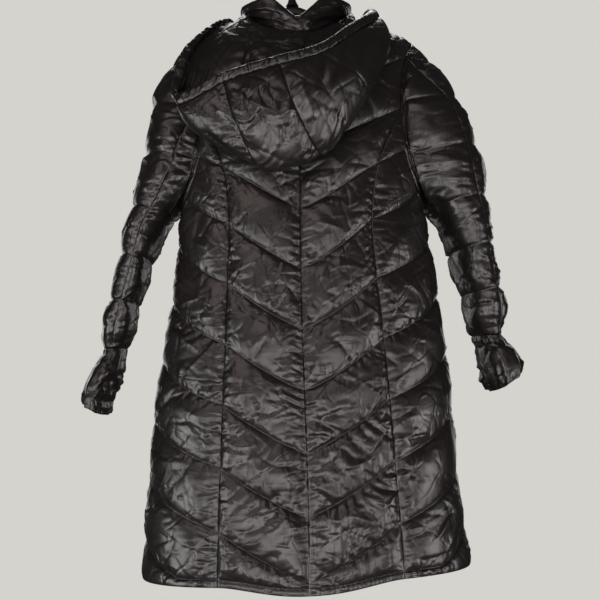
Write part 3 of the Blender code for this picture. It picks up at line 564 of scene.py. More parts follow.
def cuff_cut(side, spacing):
    """The ruffle below the gathered wrist, all round. Its first and last columns are one seam."""
    height, lift = CUFF_END[side]
    turn = np.linspace(-math.pi, math.pi, steps(CUFF_WIDE, spacing) + 1) - CUFF_SEAM
    end = height + lift * np.cos(turn)
    share = np.linspace(0, 1, steps(CUFF_TALL, spacing) + 1)[:, None]
    z = end + (SLEEVE_LINES[0] - GAP - end) * share
    base = arm_section(side, np.broadcast_to(turn, z.shape), z)
    normal = grid_normal(base, sign(side))
    wave = np.sin(turn * CUFF_WAVES + 0.8) * CUFF_WAVE * (1 - share) ** 0.5
    base = base + normal * wave[..., None]
    return unquilted(base, normal, CUFF_PUFF * np.sin(math.pi * share) ** 0.7 + 0 * z)


# The collar's and the hood's surface


def neck_point(face, side, share):
    """A point of the neck seam."""
    z = neckline(face, share)
    x = NECK_CENTRE + sign(side) * np.asarray(share, float) * NECK_SHARE * REACH[side]
    return body_point(angle_at(x, z), z, face)


def neck_seam(count):
    """The neck seam from the left front edge, round the back, to the right front edge, with its place."""
    quarter, fine = [], np.linspace(0, 1, 60)
    for face, side in (("front", "left"), ("back", "left"), ("back", "right"), ("front", "right")):
        start = 0.0
        if face == "front":
            edge = inner_edge(face, side, np.array(NECK_DIP["front"] + 0.004))
            start = abs(float(edge) - NECK_CENTRE) / (NECK_SHARE * REACH[side])
        points = neck_point(face, side, start + (1 - start) * fine)
        place = fine if face == "front" else 2 - fine
        backward = (face == "back") == (side == "left")
        quarter.append((points[::-1], place[::-1]) if backward else (points, place))
    points = np.concatenate([q[0] for q in quarter])
    place = np.concatenate([q[1] for q in quarter])
    keep = np.append(True, np.linalg.norm(np.diff(points, axis=0), axis=1) > 1e-5)
    points, place = points[keep], place[keep]
    length = np.append(0, np.cumsum(np.linalg.norm(np.diff(points, axis=0), axis=1)))
    at = np.linspace(0, length[-1], count)
    return np.stack([np.interp(at, length, points[:, k]) for k in range(3)], 1), np.interp(at, length, place)


def collar_cut(spacing):
    """The stand collar, up from the neck seam and leaning out."""
    base, place = neck_seam(steps(COLLAR_WIDE, spacing) + 1)
    tangent = unit(np.gradient(base, axis=0) * (1, 1, 0))
    for _ in range(12):
        tangent[1:-1] = unit(tangent[:-2] + tangent[1:-1] + tangent[2:])
    out = unit(np.cross(tangent, (0, 0, 1.0)))
    share = np.linspace(0, 1, steps(COLLAR_TALL, spacing) + 1)[:, None]
    rise = column(COLLAR, "height", place, "place") * share
    lean = column(COLLAR, "lean", place, "place") * share**2.4
    grid = base + stack(0 * rise, 0 * rise, rise + GAP) + out * lean[..., None]
    ends = seam_fade(np.linspace(0, 1, len(base)), 0.4)
    plump = COLLAR_PUFF * smooth(*COLLAR_SHAPE, share) * ends
    return unquilted(grid, np.broadcast_to(out, grid.shape).copy(), plump)


def through(knots, t):
    """A smooth curve through the knots at t, counted in knots. Knots may hold one curve for each t."""
    last = len(knots) - 1
    i = np.clip(np.floor(t).astype(int), 0, last - 1)
    f = (t - i)[..., None]
    own = (np.arange(len(t)),) if knots.ndim == 3 else ()
    a, b, c, d = (knots[(k,) + own] for k in (np.maximum(i - 1, 0), i, i + 1, np.minimum(i + 2, last)))
    bend = (c - a) / 2, (d - b) / 2
    low = b * (1 + 2 * f) + bend[0] * f
    high = c * (3 - 2 * f) + bend[1] * (f - 1)
    return low * (1 - f) ** 2 + high * f**2


def body_out(neck, face):
    """The body's outward direction at a point of the neck seam."""
    small = 2e-4
    x, _, z = neck
    angle = angle_at(x, z)
    across = body_point(angle + small, z, face) - body_point(angle - small, z, face)
    up = body_point(angle, z, face) - body_point(angle, z - small, face)
    normal = unit(np.cross(across, up)) * (1 if face == "back" else -1)
    slope = (shoulder(x + small) - shoulder(x - small)) / (2 * small)
    near = np.clip(1 - (shoulder(x) - z) / 0.0015, 0, 1)
    return unit(normal * (1 - near) + unit(np.array([-slope, 0, 1.0])) * near)


def hood_lines():
    """Six points on each of the hood's lines: neck, root, inner layer, fold, outer layer, rim."""
    rows = []
    for line in HOOD:
        face, side = line.place.split()
        neck = neck_point(face, side, line.share)
        away = unit((neck - (NECK_CENTRE, 0, neck[2])) * (1, 1, 0))
        neck = neck + away * 0.0055 + np.array([0, 0, 0.0040])
        inner, fold, outer, rim = (np.array(p) * 0.001 for p in (line.inner, line.fold, line.outer, line.rim))
        lift = unit(body_out(neck, face) + np.array([0, 0, 0.6]))
        root = neck + (inner - neck) * 0.38 + lift * line.root * 0.001
        rows.append([neck, root, inner, fold, outer, rim])
    return np.array(rows)


def hood_point(lines, across, along):
    """A point of the hood: across counts its lines, and along runs from 0 at the neck to 1 at the rim."""
    across, along = np.broadcast_arrays(across, along)
    flat = across.ravel()
    found = np.stack([through(lines[:, k], flat) for k in range(lines.shape[1])])
    return through(found, along.ravel() * (lines.shape[1] - 1)).reshape(across.shape + (3,))


def casing_start(lines, columns):
    """Where the casing starts on each line."""
    end = hood_point(lines, columns, np.array([1.0]))
    near = np.linalg.norm(end - hood_point(lines, columns, np.array([0.9])), axis=-1)
    return 1 - 0.1 * np.minimum(CASING / near, 2.5)


def turned(cut):
    """The same wall with its padded face on the other side."""
    return cut._replace(base=cut.base - cut.normal * WALL, normal=-cut.normal)


def hood_cut(lines, piece, spacing):
    """A side of the hood or its centre strip, from the neck up, over and down to the casing."""
    first, second = HOOD_SEAMS
    ends = {"side_left": (0, first - HOOD_SLIP), "strip": (first + HOOD_SLIP, second - HOOD_SLIP)}
    start, end = ends.get(piece, (second + HOOD_SLIP, len(lines) - 1))
    columns = np.linspace(start, end, steps((end - start) * HOOD_STRIDE, spacing) + 1)
    rows = np.linspace(0, 1, steps(HOOD_TALL, spacing) + 1)[:, None]
    along = rows * casing_start(lines, columns)
    base = hood_point(lines, columns, along)
    base[-1] += unit(base[-2] - base[-1]) * CASING_GAP
    normal = grid_normal(base, -1)
    share = (columns - columns[0]) / (columns[-1] - columns[0])
    swell = np.sin(math.pi * np.clip((rows - 0.14) / 0.86, 0, 1))
    plump = HOOD_PUFF * seam_fade(share, 0.15) * np.maximum(swell, 0) ** 0.5
    return turned(unquilted(base, normal, plump))


def casing_cut(lines, spacing):
    """The gathered casing along the hood's rim."""
    columns = np.linspace(0, len(lines) - 1, steps(CASING_WIDE, spacing) + 1)
    share = np.linspace(0, 1, steps(CASING, spacing) + 1)[:, None]
    start = casing_start(lines, columns)
    base = hood_point(lines, columns, start + (1 - start) * share)
    normal = grid_normal(base, -1)
    length = np.linalg.norm(np.diff(base[0], axis=0), axis=-1).cumsum()
    ridges = zigzag(float(length[-1]), GATHER_PITCH, np.random.default_rng(SEED["gathers"]))
    gather = np.interp(np.append(0, length), *ridges)
    plump = (CASING_PUFF + GATHER_DEPTH * gather) * np.sin(math.pi * share) ** 0.5
    return turned(unquilted(base, normal, plump))


# Settling the cloth


def links(shape):
    """Pairs of grid slices, each pair joining points that no other link of it touches."""
    rows, columns = shape
    every = slice(None)
    found = []
    for s in (0, 1):
        a, b = slice(s, columns - 1, 2), slice(s + 1, columns, 2)
        found.append(("weft", (every, a), (every, b)))
        a, b = slice(s, rows - 1, 2), slice(s + 1, rows, 2)
        found.append(("warp", (a, every), (b, every)))
        found.append(("bias", (a, slice(0, columns - 1)), (b, slice(1, columns))))
        found.append(("cross", (a, slice(1, columns)), (b, slice(0, columns - 1))))
    for s in range(4):
        a, b = slice(s, columns - 2, 4), slice(s + 2, columns, 4)
        found.append(("bend_weft", (every, a), (every, b)))
        a, b = slice(s, rows - 2, 4), slice(s + 2, rows, 4)
        found.append(("bend_warp", (a, every), (b, every)))
    return found


def settle(cut, spare, held, start, rounds, stiff, fill):
    """Relaxes a grid of cloth whose threads are longer than the surface under it by the share spare.
    start holds heights over the wall or whole points, and fill is how hard the padding presses."""
    given = (cut.base, cut.normal, cut.plump[..., None])
    base, normal, plump = (np.ascontiguousarray(np.moveaxis(v, -1, 0), np.float32) for v in given)
    plump = plump[0]
    cloth = base + normal * start.astype(np.float32) if start.ndim == 2 else start.astype(np.float32)
    free = (~held).astype(np.float32)
    pinned = cloth[:, held].copy()
    work = []
    for kind, a, b in links(plump.shape):
        a3, b3 = (slice(None),) + a, (slice(None),) + b
        more = spare[kind]
        rest = np.sqrt(((base[b3] - base[a3]) ** 2).sum(0)) * (1 + (more[a] + more[b]) / 2)
        both = free[a] + free[b]
        share = np.where(both > 0, stiff[kind] / np.maximum(both, 1), 0).astype(np.float32)
        work.append((a3, b3, rest.astype(np.float32), share * free[a], share * free[b]))
    tiny = np.float32(1e-9)
    for _ in range(rounds):
        for a3, b3, rest, own, other in work:
            away = cloth[b3] - cloth[a3]
            away *= 1 - rest / np.sqrt((away * away).sum(0) + tiny)
            cloth[a3] += away * own
            cloth[b3] -= away * other
        height = ((cloth - base) * normal).sum(0)
        cloth += normal * ((plump - height) * free * np.float32(fill))
        cloth[:, held] = pinned
    return cloth


def finer(field):
    """A grid with twice the steps each way."""
    rows, columns = field.shape[-2:]
    out = np.empty(field.shape[:-2] + (2 * rows - 1, 2 * columns - 1), field.dtype)
    out[..., ::2, ::2] = field
    out[..., 1::2, ::2] = (field[..., 1:, :] + field[..., :-1, :]) / 2
    out[..., :, 1::2] = (out[..., :, 2::2] + out[..., :, :-2:2]) / 2
    return out


# How a cloth behaves: the share by which its threads are longer than the wall and how unevenly, the
# depth of its folds and their number on a square metre, the height of its flats, and the height,
# distance and length of the puckers beside its seams
Feel = namedtuple("Feel", "spare uneven crease count facet pucker pitch reach")
COAT = Feel(
    spare=0.020,
    uneven=0.8,
    crease=0.0015,
    count=3300,
    facet=0.0010,
    pucker=0.0007,
    pitch=0.0052,
    reach=0.011,
)
ARM = COAT._replace(spare=0.022, crease=0.0022, facet=0.0014, pucker=0.0011, reach=0.012)
BAG = COAT._replace(spare=0.018, crease=0.0024, count=4200, facet=0.0010, pucker=0.0008)
LOBES = COAT._replace(spare=0.050, crease=0.0026, facet=0.0022, pucker=0.0010)
GATHER = COAT._replace(spare=0.030, crease=0.0, facet=0.0, pucker=0.0023, pitch=0.0034, reach=0.018)


def flat_places(cut):
    """Each point's place on the flat cut: metres across from the first column, and metres up."""
    wide = np.linalg.norm(np.diff(cut.base, axis=1), axis=-1).cumsum(axis=1)
    tall = np.linalg.norm(np.diff(cut.base, axis=0), axis=-1).cumsum(axis=0)
    across = np.pad(wide, ((0, 0), (1, 0)))
    up = np.pad(tall, ((1, 0), (0, 0)))
    return across, up + cut.base[0, :, 2] - cut.base[0, :, 2].min()


def zigzag(length, pitch, rng):
    """Places and heights of an uneven row of ridges and valleys."""
    gaps = pitch * rng.uniform(0.4, 1.6, int(2.2 * length / pitch) + 8)
    heights = rng.uniform(0.25, 1.0, len(gaps))
    heights[::2] *= -1
    return gaps.cumsum() - 3 * pitch, heights


def puckers(along, away, feel, rng):
    """Short sharp ridges that stand square to a seam and die out away from it."""
    length = float(along.max())
    total = np.zeros_like(along)
    for size, share in ((1.0, 1.0), (2.3, 1.3)):
        knots = np.linspace(0, length, int(length / (1.5 * feel.pitch * size)) + 3)
        lean = np.interp(along, np.linspace(0, length, 24), rng.uniform(-0.45, 0.45, 24))
        at = along + lean * away
        depth = np.interp(at, knots, rng.uniform(0.5, 1.6, len(knots))) * feel.reach * size
        grow = 1 - np.exp(-away / (0.0012 * size))
        patch = np.interp(at, np.linspace(0, length, 9), rng.uniform(0.2, 1.5, 9))
        ridge = np.interp(at, *zigzag(length, feel.pitch * size, rng)) * patch
        total += share * ridge * np.exp(-((away / depth) ** 1.2)) * grow
    return total


TRIANGLES = (
    (((0, 0), (1, 0), (1, 1)), ((0, 0), (1, 1), (0, 1))),
    (((0, 0), (1, 0), (0, 1)), ((1, 0), (1, 1), (0, 1))),
)


def facets(across, up, size, stretch, turn, rng):
    """Flat facets: random heights at scattered points, joined by triangles that are longer one way."""
    cos, sin = math.cos(turn), math.sin(turn)
    a, b = (across * cos + up * sin) / (size * stretch), (up * cos - across * sin) / size
    low = np.array([a.min(), b.min()]) - 2
    wide, tall = np.ceil(np.array([a.max(), b.max()]) + 2 - low).astype(int)
    x, y = np.meshgrid(np.arange(wide + 1.0), np.arange(tall + 1.0))
    x += low[0] + rng.uniform(-0.48, 0.48, x.shape)
    y += low[1] + rng.uniform(-0.48, 0.48, x.shape)
    height = rng.standard_normal(x.shape)
    near_x, near_y = np.round(a - low[0]).astype(int), np.round(b - low[1]).astype(int)
    field, found = np.zeros_like(a), np.zeros(a.shape, bool)
    for shift in ((-1, -1), (0, -1), (-1, 0), (0, 0)):
        i, j = np.clip(near_x + shift[0], 0, wide - 1), np.clip(near_y + shift[1], 0, tall - 1)
        other = (i * 7 + j * 13 + (i * j) % 5) % 2 == 1
        for half in (0, 1):
            corner = []
            for own, swapped in zip(TRIANGLES[0][half], TRIANGLES[1][half]):
                place = j + np.where(other, swapped[1], own[1]), i + np.where(other, swapped[0], own[0])
                corner.append((x[place], y[place], height[place]))
            (x0, y0, h0), (x1, y1, h1), (x2, y2, h2) = corner
            area = (x1 - x0) * (y2 - y0) - (x2 - x0) * (y1 - y0)
            area = np.where(np.abs(area) < 1e-9, 1e-9, area)
            s = ((a - x0) * (y2 - y0) - (x2 - x0) * (b - y0)) / area
            t = ((x1 - x0) * (b - y0) - (a - x0) * (y1 - y0)) / area
            inside = (s >= 0) & (t >= 0) & (s + t <= 1) & ~found
            field = np.where(inside, h0 + s * (h1 - h0) + t * (h2 - h0), field)
            found |= inside
    return field


def crease(across, up, start, end, width, depth, bow=0.0, lean=0.0):
    """One sharp fold from start to end: a valley, or a ridge where depth is negative."""
    way = np.subtract(end, start)
    length = float(np.hypot(*way))
    way = way / length
    share = ((across - start[0]) * way[0] + (up - start[1]) * way[1]) / length
    off = (up - start[1]) * way[0] - (across - start[0]) * way[1] - 4 * bow * length * share * (1 - share)
    taper = ease(np.minimum((share + 0.12) * 6, (1 - share) * 2.5))
    return -depth * taper * np.exp(-np.abs(off) / (width * np.where(off > 0, 1 + lean, 1 - lean)))


Fold = namedtuple("Fold", "length width")
LONG_FOLD = Fold((0.030, 0.070), (0.0022, 0.0050))
SHORT_FOLD = Fold((0.008, 0.026), (0.0014, 0.0030))
LONG_SHARE = 0.3
PLATE = 0.030  # size of the broad flats
SHORT_BLOCK = 0.012  # a block between two lines that is shorter has no folds


def scattered_creases(across, up, low, high, feel, rng):
    """Folds that run from a block's edges into it, as the cloth is pushed together at its seams."""
    width, tall = float(across.max()), float(np.mean(high - low))
    slope = math.atan2(float(low[-1] - low[0]), width)
    total = np.zeros_like(across)
    for _ in range(int(6 + tall * width * feel.count)):
        at, share = width * rng.uniform(0.05, 0.95), rng.uniform(0.1, 0.9)
        fold = LONG_FOLD if rng.random() < LONG_SHARE else SHORT_FOLD
        length = rng.uniform(*fold.length)
        turn = rng.normal(slope * rng.choice((1.0, 0.0, -1.0)), 0.35)
        place = rng.choice(("seam", "line", "middle"), p=(0.45, 0.3, 0.25))
        if place == "seam":
            at = width * rng.integers(2)
        elif place == "line":
            share = rng.choice((0.03, 0.97))
            turn += rng.choice((0.5, 1.2, math.pi - 1.2, math.pi - 0.5))
        if at == width or share == 0.97:
            turn += math.pi
        bottom, top = np.interp(at, across[0], low), np.interp(at, across[0], high)
        start = np.array([at, bottom + (top - bottom) * share])
        end = start + length * np.array([math.cos(turn), math.sin(turn)])
        thick = rng.uniform(*fold.width)
        depth = feel.crease * rng.uniform(0.45, 1.0) * (thick / SHORT_FOLD.width[1]) ** 0.7
        depth *= rng.choice([1, -1], p=[0.55, 0.45])
        total += crease(across, up, start, end, thick, depth, rng.normal(0, 0.08), rng.uniform(-0.6, 0.6))
    return total


def rumples(cut, feel, rng):
    """Two fields of heights, block by block: broad flats, and sharp folds and puckers."""
    across, up = flat_places(cut)
    right = across[:, -1:] - across
    broad, fine = np.zeros_like(across), np.zeros_like(across)
    for low, high in zip(cut.lines, cut.lines[1:]):
        rows = slice(low, high + 1)
        tall = float((up[high] - up[low]).mean())
        if tall < SHORT_BLOCK:
            continue
        slope = np.gradient(up[low]) / np.maximum(np.gradient(across[low]), 1e-6)
        square = 1 / np.sqrt(1 + slope**2)
        from_low, from_high = (up[rows] - up[low]) * square, (up[high] - up[rows]) * square
        edge = np.minimum(np.minimum(from_low, from_high), np.minimum(across[rows], right[rows]))
        fade = min(1.0, tall / 0.05) * (1 - np.exp(-edge / 0.004))
        fine[rows] += scattered_creases(across[rows], up[rows], up[low], up[high], feel, rng) * fade
        plates = facets(across[rows], up[rows], PLATE, 1.8, rng.uniform(-0.8, 0.8), rng)
        broad[rows] += feel.facet * plates * fade
        loose = feel._replace(pitch=feel.pitch * 1.4, reach=feel.reach * 0.5)
        for away in (from_low, from_high):
            fine[rows] += 0.6 * feel.pucker * puckers(across[rows], away, loose, rng)
        for away in (across[rows], right[rows]):
            fine[rows] += feel.pucker * puckers(up[rows] - up[low].min(), away, feel, rng)
    return broad, fine


# Each pass over the cloth: one grid point in how many, how many rounds, and how stiff against bending
SETTLING = ((4, 120, 0.05), (2, 90, 0.04), (1, 45, 0.02))
FILL = 0.01  # how hard the padding presses
LUMP = 0.012  # size of the padding's lumps
SINK = 0.0013  # how deep a quilting line sinks
SINK_SPREAD = 0.0003
SEAM_SINK = 0.0005


def crumple(cut, feel, seed):
    """The outer cloth of a panel, settled on a coarse grid, then a finer one, then the whole grid.
    The sharp folds are pressed in again at the end, because settling softens them."""
    rng = np.random.default_rng(seed)
    shape = cut.plump.shape
    lump = LUMP / float(np.linalg.norm(np.diff(cut.base, axis=0), axis=-1).mean())
    ways = ("weft", "warp", "shear")
    uneven = {way: feel.spare * feel.uneven * grain(shape, (3 * lump, 3 * lump), rng) for way in ways}
    weft = np.clip(0.8 * feel.spare + uneven["weft"], 0.002, 2 * feel.spare)
    warp = np.clip(feel.spare + uneven["warp"], 0.002, 3 * feel.spare)
    shear = 0.7 * uneven["shear"]
    slack = {"weft": weft, "warp": warp, "bend_weft": weft, "bend_warp": warp}
    slack["bias"] = (weft + warp) / 2 + shear
    slack["cross"] = (weft + warp) / 2 - shear
    broad, fine = rumples(cut, feel, rng)
    held = np.zeros(shape, bool)
    held[cut.lines] = True
    held[:, 0] = held[:, -1] = True
    edge = grain(shape, (0.7 * lump, 0.7 * lump), rng) * SINK_SPREAD - SINK
    wide, _ = flat_places(cut)
    edge *= 1 - 0.55 * np.exp(-np.minimum(wide, wide[:, -1:] - wide) / 0.006)
    edge[:, 0] = edge[:, -1] = -SEAM_SINK
    edge[0] = edge[-1] = 0
    lumps = grain(shape, (lump, lump), rng) * 0.0008
    lumps += grain(shape, (2.5 * lump, 2.5 * lump), rng) * 0.0010
    start = np.where(held, edge, cut.plump + lumps + 0.6 * broad + 0.5 * fine)
    offset = None
    for size, turns, crisp in SETTLING:
        part = Cut(*(v[::size, ::size] for v in (cut.base, cut.normal, cut.plump)), None)
        pins, begin = held[::size, ::size], start[::size, ::size]
        base, normal = (np.moveaxis(v, -1, 0) for v in (part.base, part.normal))
        if offset is not None:
            begin = np.where(pins, base + normal * begin, base + finer(offset))
        stiff = {"weft": 1.0, "warp": 1.0, "bias": 0.35, "cross": 0.35}
        stiff["bend_weft"] = stiff["bend_warp"] = crisp
        more = {way: value[::size, ::size] for way, value in slack.items()}
        cloth = settle(part, more, pins, begin, turns, stiff, FILL)
        offset = cloth - base
    near = np.linalg.norm(np.gradient(cut.base, axis=1), axis=-1)
    room = np.clip(2.0 * near / np.median(near) - 0.3, 0, 1)
    pressed = np.where(held, 0, (fine + broad) * room)
    return np.moveaxis(cloth, 0, -1) + cut.normal * pressed[..., None]


# Making meshes

FLAT_MAP = "flat_cut"


def wall_faces(rows, columns, inner_step):
    """Faces of a closed wall: the outer grid, a plainer inner grid and the edges between them."""
    index = np.arange(rows * columns).reshape(rows, columns)
    quads = [index[:-1, :-1], index[:-1, 1:], index[1:, 1:], index[1:, :-1]]
    faces = np.stack(quads, axis=-1).reshape(-1, 4).tolist()
    r, c = (rows - 1) // inner_step + 1, (columns - 1) // inner_step + 1
    inside = np.arange(r * c).reshape(r, c) + rows * columns
    quads = [inside[:-1, :-1], inside[1:, :-1], inside[1:, 1:], inside[:-1, 1:]]
    faces += np.stack(quads, axis=-1).reshape(-1, 4).tolist()
    borders = (
        (index[0], inside[0], False),
        (index[-1], inside[-1], True),
        (index[:, 0], inside[:, 0], True),
        (index[:, -1], inside[:, -1], False),
    )
    for outer, inner, ahead in borders:
        for k in range(len(inner) - 1):
            run = outer[k * inner_step : (k + 1) * inner_step + 1].tolist()
            if ahead:
                faces.append(run + [int(inner[k + 1]), int(inner[k])])
            else:
                faces.append([int(inner[k]), int(inner[k + 1])] + run[::-1])
    return faces


def new_object(name, points, faces, material, smooth_faces=True):
    """An object with its mesh and its one material, in the scene."""
    mesh = bpy.data.meshes.new(name)
    mesh.from_pydata(points.tolist() if hasattr(points, "tolist") else points, [], faces)
    mesh.polygons.foreach_set("use_smooth", [smooth_faces] * len(mesh.polygons))
    mesh.materials.append(material)
    obj = bpy.data.objects.new(name, mesh)
    bpy.context.scene.collection.objects.link(obj)
    return obj


def cloth_wall(name, cut, outer, material, inner_step=4):
    """A panel's closed wall. Its UV map holds each point's place on the flat cut, in metres.
    With an inner step of 1 or 2 the inside has the same folds as the outside."""
    rows, columns = outer.shape[:2]
    inner = cut.base - cut.normal * WALL
    if inner_step < 4:
        folds = ((outer - cut.base) * cut.normal).sum(axis=-1) - cut.plump
        inner = cut.base - cut.normal * (WALL + 0.4 * cut.plump - 0.9 * folds)[..., None]
    inner = inner[::inner_step, ::inner_step]
    points = np.concatenate([outer.reshape(-1, 3), inner.reshape(-1, 3)])
    faces = wall_faces(rows, columns, inner_step)
    if np.einsum("ijk,ijk->", grid_normal(outer, 1), cut.normal) < 0:
        faces = [face[::-1] for face in faces]
    obj = new_object(name, points, faces, material)
    mesh = obj.data
    wide = np.linalg.norm(np.diff(cut.base, axis=1), axis=-1).mean(axis=0).cumsum()
    tall = np.linalg.norm(np.diff(cut.base, axis=0), axis=-1).mean(axis=1).cumsum()
    u, v = np.meshgrid(np.append(0, wide), np.append(0, tall))
    flat = np.stack([u, v], axis=-1)
    flat = np.concatenate([flat.reshape(-1, 2), flat[::inner_step, ::inner_step].reshape(-1, 2)])
    corners = np.empty(len(mesh.loops), np.int32)
    mesh.loops.foreach_get("vertex_index", corners)
    mesh.uv_layers.new(name=FLAT_MAP).data.foreach_set("uv", flat[corners].astype(np.float32).ravel())
    return obj


def along_path(path, at):
    """Points at the distances at along a path of points or of any other vectors that go with it."""
    points = path[0]
    length = np.append(0, np.cumsum(np.linalg.norm(np.diff(points, axis=0), axis=1)))
    return [np.stack([np.interp(at, length, v[:, k]) for k in range(3)], 1) for v in path], length[-1]


def sew(name, runs, material):
    """Running stitches along runs of points and normals: short threads that bulge in the middle."""
    points, faces = [], []
    for path, normal in runs:
        _, length = along_path((path, normal), np.zeros(1))
        start = np.arange(0.3, length / STITCH.pitch - 1) * STITCH.pitch
        (low, out), _ = along_path((path, normal), start)
        (high, _), _ = along_path((path, normal), start + STITCH.length)
        out = unit(out)
        middle = (low + high) / 2 + out * STITCH.thick * 0.6
        side = unit(np.cross(high - low, out)) * STITCH.thick
        ring = [middle + side, middle + out * STITCH.thick, middle - side, middle - out * STITCH.thick]
        first = len(points) + 6 * np.arange(len(start))[:, None]
        points += np.stack([low, *ring, high], axis=1).reshape(-1, 3).tolist()
        for a, b in ((1, 2), (2, 3), (3, 4), (4, 1)):
            faces += (first + (0, a, b)).tolist() + (first + (5, b, a)).tolist()
    obj = new_object(name, points, faces, material)
    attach(obj, "coat")
    return obj


def loops(rings):
    """Points and faces of a closed form through rings of as many points each."""
    count = len(rings[0])
    points = np.concatenate(rings)
    faces = []
    for r in range(len(rings) - 1):
        for k in range(count):
            n = (k + 1) % count
            faces.append((r * count + k, r * count + n, (r + 1) * count + n, (r + 1) * count + k))
    last = (len(rings) - 1) * count
    faces.append(tuple(range(count))[::-1])
    faces.append(tuple(last + k for k in range(count)))
    return points, faces


def rod(path, widths, heights, side, count=24, seam=0.0):
    """A closed rod of oval section. side is a direction square to the whole path, and seam is how far
    a moulding line stands out along each side of it, as a share of the width."""
    tangent = unit(np.gradient(path, axis=0))
    side = np.asarray(side, float)
    rise = unit(np.cross(tangent, side))
    turn = np.arange(count) * 2 * math.pi / count
    bulge = 1 + seam * np.exp(-((np.cos(turn) / 0.10) ** 2))
    widths, heights = (np.broadcast_to(v, len(path))[:, None, None] for v in (widths, heights))
    across = side * (np.cos(turn) * bulge)[:, None] * widths
    upward = rise[:, None] * (np.sin(turn) * bulge)[:, None] * heights
    return loops(path[:, None] + across + upward)


def outward(points, faces):
    """The faces, turned so that a closed form's faces point out."""
    total = 0.0
    middle = np.mean(points, axis=0)
    for face in faces:
        corner = np.asarray(points)[list(face)] - middle
        total += sum(float(np.dot(corner[0], np.cross(a, b))) for a, b in zip(corner[1:], corner[2:]))
    return faces if total > 0 else [face[::-1] for face in faces]


def hard_object(name, forms, material, body, bevel=0.0):
    """One object of one or more closed forms, each a pair of points and faces."""
    points, faces = [], []
    for own, own_faces in forms:
        own_faces = outward(own, own_faces)
        faces += [tuple(int(k) + len(points) for k in face) for face in own_faces]
        points += np.asarray(own).tolist()
    obj = new_object(name, points, faces, material)
    if bevel:
        edge = obj.modifiers.new("edges", "BEVEL")
        edge.width = bevel
        edge.segments = 2
        edge.limit_method = "ANGLE"
        edge.harden_normals = True
    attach(obj, body)
    return obj


# The zip and the hanger


def front_edge(side):
    """The middle of the wall along a front edge, from the hem to the neck and on up the collar."""
    cut = body_cut("front", side, "centre", EDGE_GRID, 0.0)
    body = cut.base[:, 0] - cut.normal[:, 0] * WALL / 2
    cut = collar_cut(EDGE_GRID)
    end = 0 if side == "left" else -1
    return np.concatenate([body[:-1], cut.base[:, end] - cut.normal[:, end] * WALL / 2])


TOOTH = (
    (-0.0023, -0.00055), (0.0002, -0.00055), (0.0007, -0.00066), (0.0012, -0.0005), (0.0014, 0.0),
    (0.0012, 0.0005), (0.0007, 0.00066), (0.0002, 0.00055), (-0.0023, 0.00055),
)
TOOTH_RINGS = ((0.8, 0.00115), (1.0, 0.0008), (1.0, -0.0008), (0.8, -0.00115))
TEETH_START = 0.0090  # from the hem
TEETH_END = 0.004  # from the collar's top


def teeth(side):
    """The moulded teeth of one side, on the tape's edge. The two sides' teeth take turns."""
    way = -sign(side)
    edge = front_edge(side) + np.array([way * (ZIP_HALF - 0.0004), 0, 0])
    _, length = along_path((edge,), np.zeros(1))
    first = TEETH_START + (TEETH_PITCH / 2 if side == "right" else 0.0)
    at = np.arange(first, length - TEETH_END, TEETH_PITCH)
    (place,), _ = along_path((edge,), at)
    (ahead,), _ = along_path((edge,), at + 0.001)
    up = unit(ahead - place)
    inward = np.broadcast_to([way * 1.0, 0, 0], up.shape)
    out = unit(np.cross(up, inward)) * way
    outline = np.array(TOOTH)
    rings = []
    for shrink, depth in TOOTH_RINGS:
        u, v = outline[:, 0, None, None] * shrink, outline[:, 1, None, None] * shrink
        rings.append(place + inward * u + up * v + out * depth)
    count = len(TOOTH_RINGS) * len(TOOTH)
    points = np.stack(rings).reshape(count, len(at), 3).transpose(1, 0, 2)
    faces = outward(*loops(points[0].reshape(len(TOOTH_RINGS), len(TOOTH), 3)))
    every = [tuple(k + i * count for k in face) for i in range(len(at)) for face in faces]
    return points.reshape(-1, 3), every


# The tape's section, out from the front edge: the distance from it, and how far the face rises
TAPE_RIBS = (
    (-0.0045, -0.00030), (0.0002, -0.00030), (0.0006, 0), (0.0012, 0.00015), (0.0018, 0.00015),
    (0.0022, 0), (0.0035, 0), (0.0047, 0.00015), (0.0051, 0.00015), (ZIP_HALF - 0.0004, 0),
)


def tape(side):
    """The two faces of a zip tape that is caught in the front edge's wall, the outer face first."""
    way = -sign(side)
    edge = front_edge(side)
    _, length = along_path((edge,), np.zeros(1))
    (line,), _ = along_path((edge,), np.linspace(0.0085, length, 300))
    across, rise = np.array(TAPE_RIBS).T
    grid = line[:, None] + np.array([way, 0, 0]) * across[:, None]
    out = np.array([0, 1.0, 0]) * (TAPE / 2 + rise)[:, None]
    return grid + out, grid - out


def rounded_box(low, high, inset):
    """A block whose edges are cut off all round by inset."""
    low, high = np.array(low, float), np.array(high, float)
    middle, half = (low + high) / 2, (high - low) / 2
    rings = []
    for shrink, depth in ((inset, -1), (0, -1 + inset / half[1]), (0, 1 - inset / half[1]), (inset, 1)):
        x, z, c = half[0] - shrink, half[2] - shrink, inset * 1.2
        corner = [(-x + c, -z), (x - c, -z), (x, -z + c), (x, z - c)]
        corner += [(-a, -b) for a, b in corner]
        rings.append(middle + np.array([(a, depth * half[1], b) for a, b in corner]))
    return loops(rings)


def plate(outline, steps_in):
    """A flat plate in the XZ plane. steps_in lists how far each ring is drawn in, and its height on Y."""
    outline = np.array(outline, float)
    middle = outline.mean(axis=0)
    rings = []
    for drawn, height in steps_in:
        away = outline - middle
        size = np.abs(away).max(axis=0)
        flat = middle + away * (1 - drawn / size)
        rings.append(np.stack([flat[:, 0], np.full(len(flat), height), flat[:, 1]], axis=1))
    return loops(rings)


